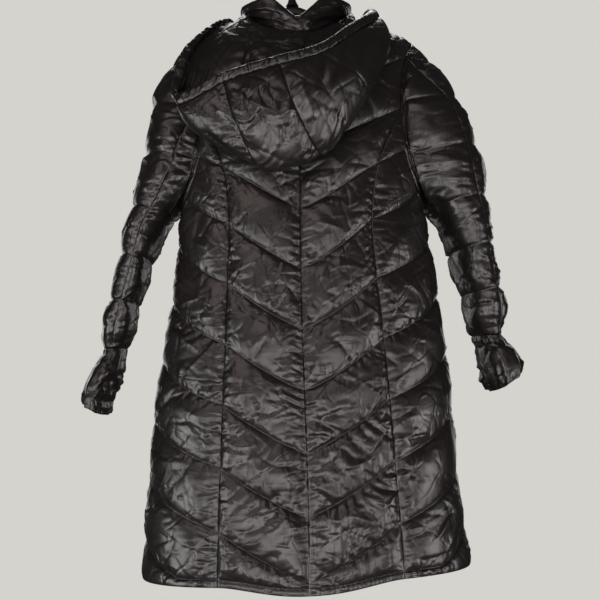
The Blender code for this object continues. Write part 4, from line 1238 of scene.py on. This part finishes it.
def zip_place():
    """Where the slider sits: on the closed teeth, in front of the tapes."""
    z = np.array([ZIP_SLIDER])
    x = centre_x(z)
    point = body_point(angle_at(x, z), z, "front")[0]
    return point + np.array([0, -WALL / 2 + TAPE / 2 + GAP, 0])


SLIDER = (
    (-0.0018, 0.0050), (0.0018, 0.0050), (0.0038, 0.0042), (0.0042, 0.0026), (0.0036, -0.0004),
    (0.0034, -0.0036), (0.0026, -0.0048), (0.0010, -0.0050), (-0.0010, -0.0050), (-0.0026, -0.0048),
    (-0.0034, -0.0036), (-0.0036, -0.0004), (-0.0042, 0.0026), (-0.0038, 0.0042),
)
SLIDER_RINGS = ((0.0008, 0.0), (0.0, 0.0002), (0.0, 0.0010), (0.0005, 0.0014), (0.0012, 0.0017))
EAR = 0.0035
EAR_THICK = 0.00045


def slider_forms(place):
    """A shield-shaped plate, two ears and the pin that the pull tab turns on."""
    body = plate(SLIDER, SLIDER_RINGS)
    forms = [(body[0] + place, body[1])]
    for way in (-1, 1):
        low = (way * EAR - EAR_THICK, 0.0012, -0.0012)
        high = (way * EAR + EAR_THICK, 0.0048, 0.0042)
        ear = rounded_box(low, high, 0.0002)
        forms.append((ear[0] + place, ear[1]))
    line = np.array([(x, 0, 0) for x in np.linspace(-0.0039, 0.0039, 6)]) + place + PIVOT
    forms.append(rod(line, 0.0006, 0.0006, (0, 1, 0), 14))
    return forms


TAB_RIM = ((0.0011, 0.00035), (0.0009, 0.0003), (0.0007, 0), (0.0003, 0), (0.0, 0.00025))


def pull_forms(place):
    """A tapered tab with a raised rim and a round eye over the pin."""
    pivot = place + PIVOT
    width, length, thick = TAB
    half = width / 2
    edge = [(half * 0.72, -0.0010), (half * 0.86, -length * 0.30), (half, -length * 0.60)]
    turn = np.radians(np.arange(0, 181, 20))
    outline = edge + [(half * math.cos(a), -length + half - half * math.sin(a)) for a in turn]
    outline += [(-x, z) for x, z in edge[::-1]]
    profile = [(drawn, thick / 2 - sunk) for drawn, sunk in TAB_RIM]
    profile += [(drawn, -height) for drawn, height in profile[::-1]]
    tab = plate(outline, profile)
    x = np.array([-1, -0.94, -0.8, 0.8, 0.94, 1]) * width / 2
    line = np.array([(v, 0, 0) for v in x]) + pivot
    round_end = EYE * np.array([0.7, 0.92, 1, 1, 0.92, 0.7])
    return [(tab[0] + pivot, tab[1]), rod(line, round_end, round_end, (0, 1, 0), 20)]


def arm_path(count):
    """The hanger's arms, just under the shoulder seams and arched up through the neck, with half their
    height and half their width along the way."""
    x = np.linspace(HANGER_END["left"], HANGER_END["right"], count)
    left = NECK_SHARE * REACH["left"] - NECK_CENTRE
    right = NECK_SHARE * REACH["right"] + NECK_CENTRE
    inside = np.where(x < 0, left, right) - 0.008
    foot = shoulder(np.sign(x) * inside) - WALL - HANGER_CLEAR
    share = np.abs(x) / inside
    arch = HANGER_TOP + (foot - HANGER_TOP) * share**1.4
    top = np.where(share < 1, arch, np.minimum(shoulder(x) - WALL - HANGER_CLEAR, foot))
    half = HANGER_HALF - HANGER_TAPER * (np.abs(x) / HANGER_END["right"]) ** 2
    near = np.minimum(x - x[0], x[-1] - x)
    round_end = np.sqrt(1 - (1 - np.clip(near / 0.010, 0.02, 1)) ** 2)
    return stack(x, 0 * x, top - half), half * round_end, HANGER_WIDE * round_end


def hook_path():
    """The hook's rod: up out of the hanger's neck, over to one side and round."""
    start = HANGER_TOP + 0.0183
    centre = HOOK_ROD - HOOK_RADIUS
    arc = [(HOOK_RADIUS * math.sin(a), HOOK_RADIUS * math.cos(a)) for a in np.radians(range(125, -126, -7))]
    knots = [(0, start), (0, start + 0.007), (0.004, start + 0.0135), (0.0115, start + 0.0195)]
    points = np.array([(x, 0, z) for x, z in knots] + [(x, 0, centre + z) for x, z in arc])
    return through(points, np.linspace(0, len(points) - 1, 150))


# Finishes


def wire(tree, source, target):
    tree.links.new(source, target)


def node(tree, kind, inputs=None, **settings):
    """A node with its settings. Its inputs are given values, or wired to other nodes' outputs."""
    made = tree.nodes.new(kind)
    for name, value in settings.items():
        setattr(made, name, value)
    for name, value in (inputs or {}).items():
        if isinstance(value, bpy.types.NodeSocket):
            wire(tree, value, made.inputs[name])
        else:
            made.inputs[name].default_value = value
    return made


def math_node(tree, operation, first, second=None, clamp=False):
    """The output of a sum of one or two values."""
    inputs = {0: first} if second is None else {0: first, 1: second}
    return node(tree, "ShaderNodeMath", inputs, operation=operation, use_clamp=clamp).outputs[0]


def noise(tree, place, scale, detail):
    return node(tree, "ShaderNodeTexNoise", {"Vector": place, "Scale": scale, "Detail": detail}).outputs


def remap(tree, value, given, wanted):
    """The value, moved from the range given to the range wanted and held inside it."""
    ends = {"From Min": given[0], "From Max": given[1], "To Min": wanted[0], "To Max": wanted[1]}
    return node(tree, "ShaderNodeMapRange", {"Value": value, **ends}).outputs[0]


def bump(tree, height, strength, distance):
    inputs = {"Height": height, "Strength": strength, "Distance": distance}
    return node(tree, "ShaderNodeBump", inputs)


def new_group(name, inputs, outputs):
    """An empty node group, with the sockets inside it that give and take."""
    tree = bpy.data.node_groups.new(name, "ShaderNodeTree")
    for label, kind, value in inputs:
        socket = tree.interface.new_socket(label, in_out="INPUT", socket_type=kind)
        if value is not None:
            socket.default_value = value
    for label, kind in outputs:
        tree.interface.new_socket(label, in_out="OUTPUT", socket_type=kind)
    return tree, tree.nodes.new("NodeGroupInput").outputs, tree.nodes.new("NodeGroupOutput").inputs


# Each layer of creases: which way it lies, how many times finer it is, and how deep
Layer = namedtuple("Layer", "turn finer depth")
LAYERS = (Layer(0.55, 1.0, 1.0), Layer(-0.65, 1.3, 0.9), Layer(1.4, 2.1, 0.5))


def crease_group():
    """Fine pressed-in creases, too small for the mesh: thin straight folds of three sizes that meet at
    points and come and go in patches, with soft rumples between them."""
    tree, given, out = new_group(
        "Fine creases",
        [("Position", "NodeSocketVector", None), ("Size", "NodeSocketFloat", 20.0)],
        [("Height", "NodeSocketFloat")],
    )
    bent = noise(tree, given["Position"], 24.0, 1.0)["Color"]
    bent = node(tree, "ShaderNodeVectorMath", {0: bent, 1: (0.5, 0.5, 0.5)}, operation="SUBTRACT").outputs[0]
    bent = node(tree, "ShaderNodeVectorMath", {0: bent, "Scale": 0.022}, operation="SCALE").outputs[0]
    moved = node(tree, "ShaderNodeVectorMath", {0: given["Position"], 1: bent}, operation="ADD").outputs[0]
    total = None
    for layer in LAYERS:
        mapped = node(tree, "ShaderNodeMapping", {"Vector": moved}, vector_type="TEXTURE")
        mapped.inputs["Rotation"].default_value = (0.0, layer.turn, 0.3)
        mapped.inputs["Scale"].default_value = (1.9, 1.1, 0.75)
        mapped.inputs["Location"].default_value = (3.1 * layer.finer, 0.0, 0.0)
        place = mapped.outputs[0]
        size = math_node(tree, "MULTIPLY", given["Size"], layer.finer)
        inputs = {"Vector": place, "Scale": size}
        cells = node(tree, "ShaderNodeTexVoronoi", inputs, feature="DISTANCE_TO_EDGE")
        valley = math_node(tree, "MULTIPLY", cells.outputs["Distance"], 9.0, clamp=True)
        patch = noise(tree, place, 15.0 * layer.finer, 0.0)["Fac"]
        shown = remap(tree, patch, (0.42, 0.58), (0.0, 1.0))
        folds = math_node(tree, "MULTIPLY", math_node(tree, "SUBTRACT", valley, 1.0), shown)
        folds = math_node(tree, "MULTIPLY", folds, layer.depth)
        total = folds if total is None else math_node(tree, "ADD", total, folds)
    soft = math_node(tree, "MULTIPLY", noise(tree, given["Position"], 110.0, 2.0)["Fac"], 0.2)
    wire(tree, math_node(tree, "ADD", total, soft), out["Height"])
    return tree


def weave_group():
    """Plain weave: threads over and under, from the flat cut's own coordinates."""
    tree, given, out = new_group(
        "Plain weave",
        [("Flat", "NodeSocketVector", None), ("Threads", "NodeSocketFloat", 1600.0)],
        [("Height", "NodeSocketFloat")],
    )
    parts = node(tree, "ShaderNodeSeparateXYZ", {"Vector": given["Flat"]})
    waves = []
    for axis in (0, 1):
        count = math_node(tree, "MULTIPLY", given["Threads"], math.pi)
        turn = math_node(tree, "MULTIPLY", parts.outputs[axis], count)
        waves.append(math_node(tree, "SINE", turn))
    wire(tree, math_node(tree, "MULTIPLY", waves[0], waves[1]), out["Height"])
    return tree


def surface(name, colour, rough, metal=0.0):
    """A material with a Principled shader, its tree and the shader."""
    material = bpy.data.materials.new(name)
    material.use_nodes = True
    tree = material.node_tree
    shader = tree.nodes["Principled BSDF"]
    shader.inputs["Base Color"].default_value = (*colour, 1)
    shader.inputs["Roughness"].default_value = rough
    shader.inputs["Metallic"].default_value = metal
    return material, tree, shader


def nylon(groups, look):
    """Shiny downproof nylon, a little uneven in colour and gloss, creased and woven."""
    material, tree, shader = surface("shell_nylon", look.cloth_colour, look.cloth_roughness)
    place = node(tree, "ShaderNodeTexCoord").outputs["Object"]
    flat = node(tree, "ShaderNodeUVMap", uv_map=FLAT_MAP).outputs["UV"]
    creases = node(tree, "ShaderNodeGroup", node_tree=groups["creases"])
    wire(tree, place, creases.inputs["Position"])
    creases.inputs["Size"].default_value = 20.0
    weave = node(tree, "ShaderNodeGroup", node_tree=groups["weave"])
    wire(tree, flat, weave.inputs["Flat"])
    tint = remap(tree, noise(tree, place, 9.0, 2.0)["Fac"], (0.3, 0.7), (0.0, 1.0))
    mix = node(tree, "ShaderNodeMix", {0: tint}, data_type="RGBA")
    mix.inputs["A"].default_value = tuple(c * 0.85 for c in look.cloth_colour) + (1,)
    mix.inputs["B"].default_value = tuple(c * 1.2 for c in look.cloth_colour) + (1,)
    wire(tree, mix.outputs["Result"], shader.inputs["Base Color"])
    gloss = (look.cloth_roughness - 0.05, look.cloth_roughness + 0.07)
    rough = remap(tree, noise(tree, place, 26.0, 2.0)["Fac"], (0.3, 0.7), gloss)
    wire(tree, rough, shader.inputs["Roughness"])
    folds = bump(tree, creases.outputs["Height"], 0.50, 0.0010)
    threads = bump(tree, weave.outputs["Height"], 0.25, 0.00003)
    wire(tree, folds.outputs["Normal"], threads.inputs["Normal"])
    wire(tree, threads.outputs["Normal"], shader.inputs["Normal"])
    shader.inputs["Specular IOR Level"].default_value = 0.62
    return material


Finish = namedtuple("Finish", "name colour rough metal speck")
FINISHES = (
    Finish("zip_tape", (0.010, 0.010, 0.011), 0.80, 0.0, 900.0),
    Finish("sewing_thread", (0.006, 0.006, 0.006), 0.80, 0.0, 2500.0),
    Finish("zip_teeth", (0.012, 0.012, 0.012), 0.36, 0.0, 400.0),
    Finish("zip_metal", (0.030, 0.030, 0.032), 0.38, 1.0, 400.0),
    Finish("hanger_plastic", (0.008, 0.008, 0.008), 0.42, 0.0, 400.0),
    Finish("hook_steel", (0.020, 0.020, 0.022), 0.35, 1.0, 400.0),
)


def plain(finish):
    """A hard or matt finish with a fine grain."""
    _, tree, shader = surface(finish.name, finish.colour, finish.rough, finish.metal)
    specks = noise(tree, node(tree, "ShaderNodeTexCoord").outputs["Object"], finish.speck, 4.0)["Fac"]
    rough = remap(tree, specks, (0.0, 1.0), (finish.rough - 0.08, finish.rough + 0.08))
    wire(tree, rough, shader.inputs["Roughness"])
    wire(tree, bump(tree, specks, 0.4, 0.00005).outputs["Normal"], shader.inputs["Normal"])


def finishes(look):
    """All the materials, made once. The solids' own materials of the same names get other names."""
    if "shell_nylon" in bpy.data.materials and bpy.data.materials["shell_nylon"].get("finished"):
        return bpy.data.materials
    for old in ("shell_nylon", "zip_tape", "zip_metal", "hanger_plastic", "hook_steel"):
        if old in bpy.data.materials:
            bpy.data.materials[old].name = "solid_" + old
    groups = {"creases": crease_group(), "weave": weave_group()}
    nylon(groups, look)["finished"] = True
    for finish in FINISHES:
        plain(finish)
    return bpy.data.materials


# Settings and operators


class CoatCloth(bpy.types.PropertyGroup):
    cloth_colour: FloatVectorProperty(
        name="Cloth colour",
        description="Colour of the nylon",
        subtype="COLOR",
        default=(0.0100, 0.0078, 0.0078),
    )
    cloth_roughness: FloatProperty(
        name="Cloth roughness",
        description="How dull the nylon is",
        subtype="FACTOR",
        default=0.33,
        min=0.1,
        max=1,
    )
    quilt_puff: FloatProperty(
        name="Quilt puff",
        description="How far the padding rises between two lines",
        unit="LENGTH",
        default=0.0062,
    )
    back_grid: FloatProperty(
        name="Back grid",
        description="Spacing of the cloth's points on the back, the collar and the hood",
        unit="LENGTH",
        default=0.00165,
    )
    sleeve_grid: FloatProperty(
        name="Sleeve grid",
        description="Spacing of the cloth's points on the sleeves and cuffs",
        unit="LENGTH",
        default=0.0024,
    )
    front_grid: FloatProperty(
        name="Front grid",
        description="Spacing of the cloth's points on the front",
        unit="LENGTH",
        default=0.0032,
    )


class CoatStudio(bpy.types.PropertyGroup):
    floor_drop: FloatProperty(
        name="Floor",
        description="Height of the floor below the hook",
        unit="LENGTH",
        default=-1.95,
    )
    lamp_power: FloatProperty(
        name="Lamps",
        description="Strength of all the lamps",
        subtype="FACTOR",
        default=1.0,
    )
    air_power: FloatProperty(
        name="Air",
        description="Strength of the light from all round",
        subtype="FACTOR",
        default=0.04,
    )


def grid_step(spacing):
    """The spacing of a cloth's points."""
    return spacing


def hang(cut, outer, material, *replaced, inner_step=4):
    """Makes a cloth piece that replaces its solids, ties it to the coat's body and states the cut of
    its cloth."""
    obj = cloth_wall(replaced[0] + "_cloth", cut, outer, material, inner_step)
    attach(obj, "coat")
    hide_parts(*replaced)


def quilting(cut, outer):
    """The runs of stitches along a panel's quilting lines."""
    return [(outer[k], cut.normal[k]) for k in cut.lines[1:-1]]


class COAT_OT_body(bpy.types.Operator):
    """Cuts, quilts and settles the eight body panels"""

    bl_idname = "coat.body"
    bl_label = "Body panels"

    def execute(self, context):
        look = context.scene.coat_cloth
        made = finishes(look)
        seed = SEED["body"]
        for face, way, grid in (("back", -1, look.back_grid), ("front", 1, look.front_grid)):
            runs = []
            for panel in ("centre", "side"):
                for side in SIDES:
                    seed += 1
                    cut = body_cut(face, side, panel, grid_step(grid), look.quilt_puff)
                    outer = crumple(cut, COAT, seed)
                    outer[..., 1] = way * np.maximum(way * outer[..., 1], GAP / 2)
                    runs += quilting(cut, outer)
                    if face == "front" and panel == "centre":
                        runs.append((outer[:, 2], cut.normal[:, 2]))
                    hang(cut, outer, made["shell_nylon"], f"{face}_{panel}_{side}")
            sew(f"quilting_{face}", runs, made["sewing_thread"])
        return {"FINISHED"}


class COAT_OT_sleeves(bpy.types.Operator):
    """Cuts, quilts and settles the sleeves and their gathered cuffs"""

    bl_idname = "coat.sleeves"
    bl_label = "Sleeves and cuffs"

    def execute(self, context):
        look = context.scene.coat_cloth
        made = finishes(look)
        spacing = grid_step(look.sleeve_grid)
        seed = SEED["sleeves"]
        for side in SIDES:
            runs = []
            for piece in ("top", "under"):
                seed += 1
                cut = sleeve_cut(side, piece, spacing, look.quilt_puff)
                outer = crumple(cut, ARM, seed)
                runs += quilting(cut, outer)
                names = f"sleeve_{piece}_{side}", f"forearm_{piece}_{side}"
                hang(cut, outer, made["shell_nylon"], *names)
            seed += 1
            cut = cuff_cut(side, spacing)
            hang(cut, crumple(cut, ARM, seed), made["shell_nylon"], f"cuff_{side}")
            sew(f"quilting_sleeve_{side}", runs, made["sewing_thread"])
        return {"FINISHED"}


class COAT_OT_hood(bpy.types.Operator):
    """Cuts and settles the collar, the hood and its gathered rim"""

    bl_idname = "coat.hood"
    bl_label = "Collar and hood"

    def execute(self, context):
        look = context.scene.coat_cloth
        made = finishes(look)
        cloth = made["shell_nylon"]
        spacing = grid_step(look.back_grid)
        cut = collar_cut(spacing)
        hang(cut, crumple(cut, LOBES, SEED["collar"]), cloth, "collar")
        lines = hood_lines()
        for k, piece in enumerate(("side_left", "strip", "side_right")):
            cut = hood_cut(lines, piece, max(spacing, HOOD_GRID))
            hang(cut, crumple(cut, BAG, SEED["hood"] + k), cloth, f"hood_{piece}", inner_step=2)
        cut = casing_cut(lines, spacing)
        outer = crumple(cut, GATHER, SEED["casing"])
        hang(cut, outer, cloth, "hood_casing", inner_step=1)
        sew("sewing_casing", [(outer[1], cut.normal[1])], made["sewing_thread"])
        return {"FINISHED"}


class COAT_OT_zip(bpy.types.Operator):
    """Finishes the tapes and makes the teeth, the slider and its pull tab"""

    bl_idname = "coat.zip"
    bl_label = "Zip"

    def execute(self, context):
        made = finishes(context.scene.coat_cloth)
        place = zip_place()
        for side in SIDES:
            front, back = tape(side)
            points = np.concatenate([front.reshape(-1, 3), back.reshape(-1, 3)])
            faces = wall_faces(*front.shape[:2], 1)
            strip = new_object(f"zip_tape_{side}_cloth", points, outward(points, faces), made["zip_tape"])
            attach(strip, "coat")
            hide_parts(f"zip_tape_{side}")
            points, faces = teeth(side)
            row = new_object(f"zip_teeth_{side}", points, faces, made["zip_teeth"], False)
            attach(row, "coat")
        metal = made["zip_metal"]
        slider = hard_object("slider_body", slider_forms(place), metal, "coat", 0.00012)
        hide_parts("zip_slider")
        tab = hard_object("slider_pull_tab", pull_forms(place), metal, "pull_tab", 0.00010)
        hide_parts("zip_pull")
        return {"FINISHED"}


class COAT_OT_hanger(bpy.types.Operator):
    """Makes the moulded hanger and its rod hook"""

    bl_idname = "coat.hanger"
    bl_label = "Hanger"

    def execute(self, context):
        made = finishes(context.scene.coat_cloth)
        plastic = made["hanger_plastic"]
        path, heights, widths = arm_path(120)
        form = rod(path, widths, heights, (0, 1, 0), 36, 0.05)
        arms = hard_object("hanger_moulded_arms", [form], plastic, "coat")
        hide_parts("hanger_arms")
        z = np.linspace(HANGER_TOP - 0.0001, HANGER_TOP + 0.018, 24)
        share = np.linspace(0, 1, 24)
        width = smooth((0, 0.25, 0.5, 0.75, 1), (0.0105, 0.0078, 0.0060, 0.0052, 0.0048), share)
        form = rod(stack(0 * z, 0 * z, z), width * 0.62, width, (0, 1, 0), 32)
        neck = hard_object("hanger_moulded_neck", [form], plastic, "coat", 0.0003)
        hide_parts("hanger_neck")
        line = hook_path()
        near = np.minimum(np.arange(len(line)), np.arange(len(line))[::-1]) * 0.0008
        thick = HOOK_ROD * np.sqrt(1 - (1 - np.clip(near / HOOK_ROD, 0.05, 1)) ** 2)
        form = rod(line, thick, thick, (0, 1, 0), 20)
        hook = hard_object("hanger_rod_hook", [form], made["hook_steel"], "coat")
        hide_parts("hanger_hook")
        return {"FINISHED"}


def camera_axes(yaw, pitch, roll):
    """The camera's right, up and back directions."""
    ahead = np.array([math.sin(yaw) * math.cos(pitch), math.cos(yaw) * math.cos(pitch), math.sin(pitch)])
    right = np.array([math.cos(yaw), -math.sin(yaw), 0.0])
    up = np.cross(right, ahead)
    cos, sin = math.cos(roll), math.sin(roll)
    return right * cos - up * sin, right * sin + up * cos, -ahead


def set_up(name, data, place, right, up, back):
    """A lamp or a camera at its place, looking away from back."""
    obj = bpy.data.objects.new(name, data)
    rows = [[right[k], up[k], back[k], place[k]] for k in range(3)] + [[0, 0, 0, 1]]
    obj.matrix_world = Matrix(rows)
    bpy.context.scene.collection.objects.link(obj)
    return obj


def area_light(lamp, share):
    """A soft rectangular lamp that looks at the coat's middle."""
    light = bpy.data.lights.new(lamp.name, "AREA")
    light.shape = "RECTANGLE"
    light.size, light.size_y = lamp.size
    light.energy = lamp.power * share
    light.color = lamp.colour
    back = unit(np.array(lamp.place) - np.array(AIM))
    right = unit(np.cross((0, 0, 1.0), back))
    set_up(lamp.name, light, lamp.place, right, np.cross(back, right), back)


def bowl(drop):
    """A plain floor that curves up into a wall all round."""
    profile = [(0.05, 0), (1.0, 0), (2.0, 0), (2.6, 0)]
    bend = np.linspace(0.15, math.pi / 2, 10)
    profile += [(2.6 + 1.6 * math.sin(a), 1.6 - 1.6 * math.cos(a)) for a in bend]
    profile += [(4.2, 2.6), (4.2, 4.0)]
    turns = np.arange(64) * 2 * math.pi / 64
    rings = [[(r * math.cos(a), r * math.sin(a), drop + h) for a in turns] for r, h in profile]
    points, faces = loops(rings)
    return points, faces[:-1]


PAPER = (0.66, 0.65, 0.61)
PAPER_SHADE = 0.10


def backdrop_paint():
    """Paper that shows pale, and that throws little light back on the coat."""
    paint, tree, shader = surface("studio_paper", (PAPER_SHADE,) * 3, 0.95)
    glow = node(tree, "ShaderNodeEmission", {"Color": (*PAPER, 1), "Strength": 1.0})
    rays = node(tree, "ShaderNodeLightPath")
    mix = node(tree, "ShaderNodeMixShader", {0: rays.outputs["Is Camera Ray"]})
    wire(tree, shader.outputs[0], mix.inputs[1])
    wire(tree, glow.outputs[0], mix.inputs[2])
    wire(tree, mix.outputs[0], tree.nodes["Material Output"].inputs["Surface"])
    return paint


Lamp = namedtuple("Lamp", "name place size power colour")
LAMPS = (
    Lamp("key", (-0.85, -2.1, 0.75), (1.9, 1.1), 12, (1.0, 0.82, 0.80)),
    Lamp("middle", (0.1, -2.5, -0.85), (2.6, 0.5), 9, (1.0, 0.92, 0.90)),
    Lamp("low", (-0.2, -2.0, -1.35), (2.4, 0.5), 22, (1.0, 0.95, 0.92)),
    Lamp("window", (-1.9, -1.1, -1.15), (1.0, 1.0), 18, (1.0, 0.96, 0.96)),
    Lamp("fill", (1.9, -1.15, -1.20), (1.0, 1.0), 18, (1.0, 0.94, 0.92)),
    Lamp("far_key", (0.0, 1.7, 1.8), (1.8, 1.0), 20, (1.0, 0.93, 0.91)),
    Lamp("far_left", (-1.4, 2.0, -0.3), (0.9, 1.5), 8, (1.0, 0.97, 0.95)),
    Lamp("far_right", (1.4, 2.0, -0.3), (0.9, 1.5), 7, (1.0, 0.97, 0.95)),
)
AIM = (0, 0, -0.55)
AIR_COLOUR = (0.95, 0.96, 1.0, 1)
CAMERA_PLACE = (-0.0603, -1.27, -0.6726)
CAMERA_TURN = (2.5, 5.2, 2.1)  # yaw, pitch and roll, in degrees
CAMERA_LENS = 49.2  # millimetres, on a sensor 36 mm wide


class COAT_OT_stage(bpy.types.Operator):
    """Adds the floor, the soft light and the camera"""

    bl_idname = "coat.stage"
    bl_label = "Studio"

    def execute(self, context):
        studio = context.scene.coat_studio
        points, faces = bowl(studio.floor_drop)
        new_object("studio_floor", points, faces, backdrop_paint())
        for lamp in LAMPS:
            area_light(lamp, studio.lamp_power)
        world = bpy.data.worlds.new("studio_air")
        world.use_nodes = True
        sky = world.node_tree.nodes["Background"]
        sky.inputs["Color"].default_value = AIR_COLOUR
        sky.inputs["Strength"].default_value = studio.air_power
        context.scene.world = world
        context.scene.view_settings.view_transform = "Standard"
        lens = bpy.data.cameras.new("camera")
        lens.sensor_width = 36.0
        lens.lens = CAMERA_LENS
        lens.clip_start = 0.05
        axes = camera_axes(*(math.radians(angle) for angle in CAMERA_TURN))
        context.scene.camera = set_up("camera", lens, CAMERA_PLACE, *axes)
        return {"FINISHED"}


class COAT_PT_panel(bpy.types.Panel):
    """Sizes, colours and pieces of the coat"""

    bl_label = "Long puffer coat"
    bl_space_type = "VIEW_3D"
    bl_region_type = "UI"
    bl_category = "Coat"

    def draw(self, context):
        rows = self.layout.column()
        for group in (context.scene.coat_cloth, context.scene.coat_studio):
            for name in group.__annotations__:
                rows.prop(group, name)
        for operator in OPERATORS:
            rows.operator(operator.bl_idname)


OPERATORS = (COAT_OT_body, COAT_OT_sleeves, COAT_OT_hood, COAT_OT_zip, COAT_OT_hanger, COAT_OT_stage)
CLASSES = (CoatCloth, CoatStudio, *OPERATORS, COAT_PT_panel)


def register():
    for made in CLASSES:
        bpy.utils.register_class(made)
    bpy.types.Scene.coat_cloth = PointerProperty(type=CoatCloth)
    bpy.types.Scene.coat_studio = PointerProperty(type=CoatStudio)


def unregister():
    del bpy.types.Scene.coat_cloth
    del bpy.types.Scene.coat_studio
    for made in reversed(CLASSES):
        bpy.utils.unregister_class(made)


def main():
    register()
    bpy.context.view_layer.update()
    made = bpy.ops.coat
    for run in (made.stage, made.body, made.sleeves, made.hood, made.zip, made.hanger):
        run()


if __name__ == "__main__":
    main()
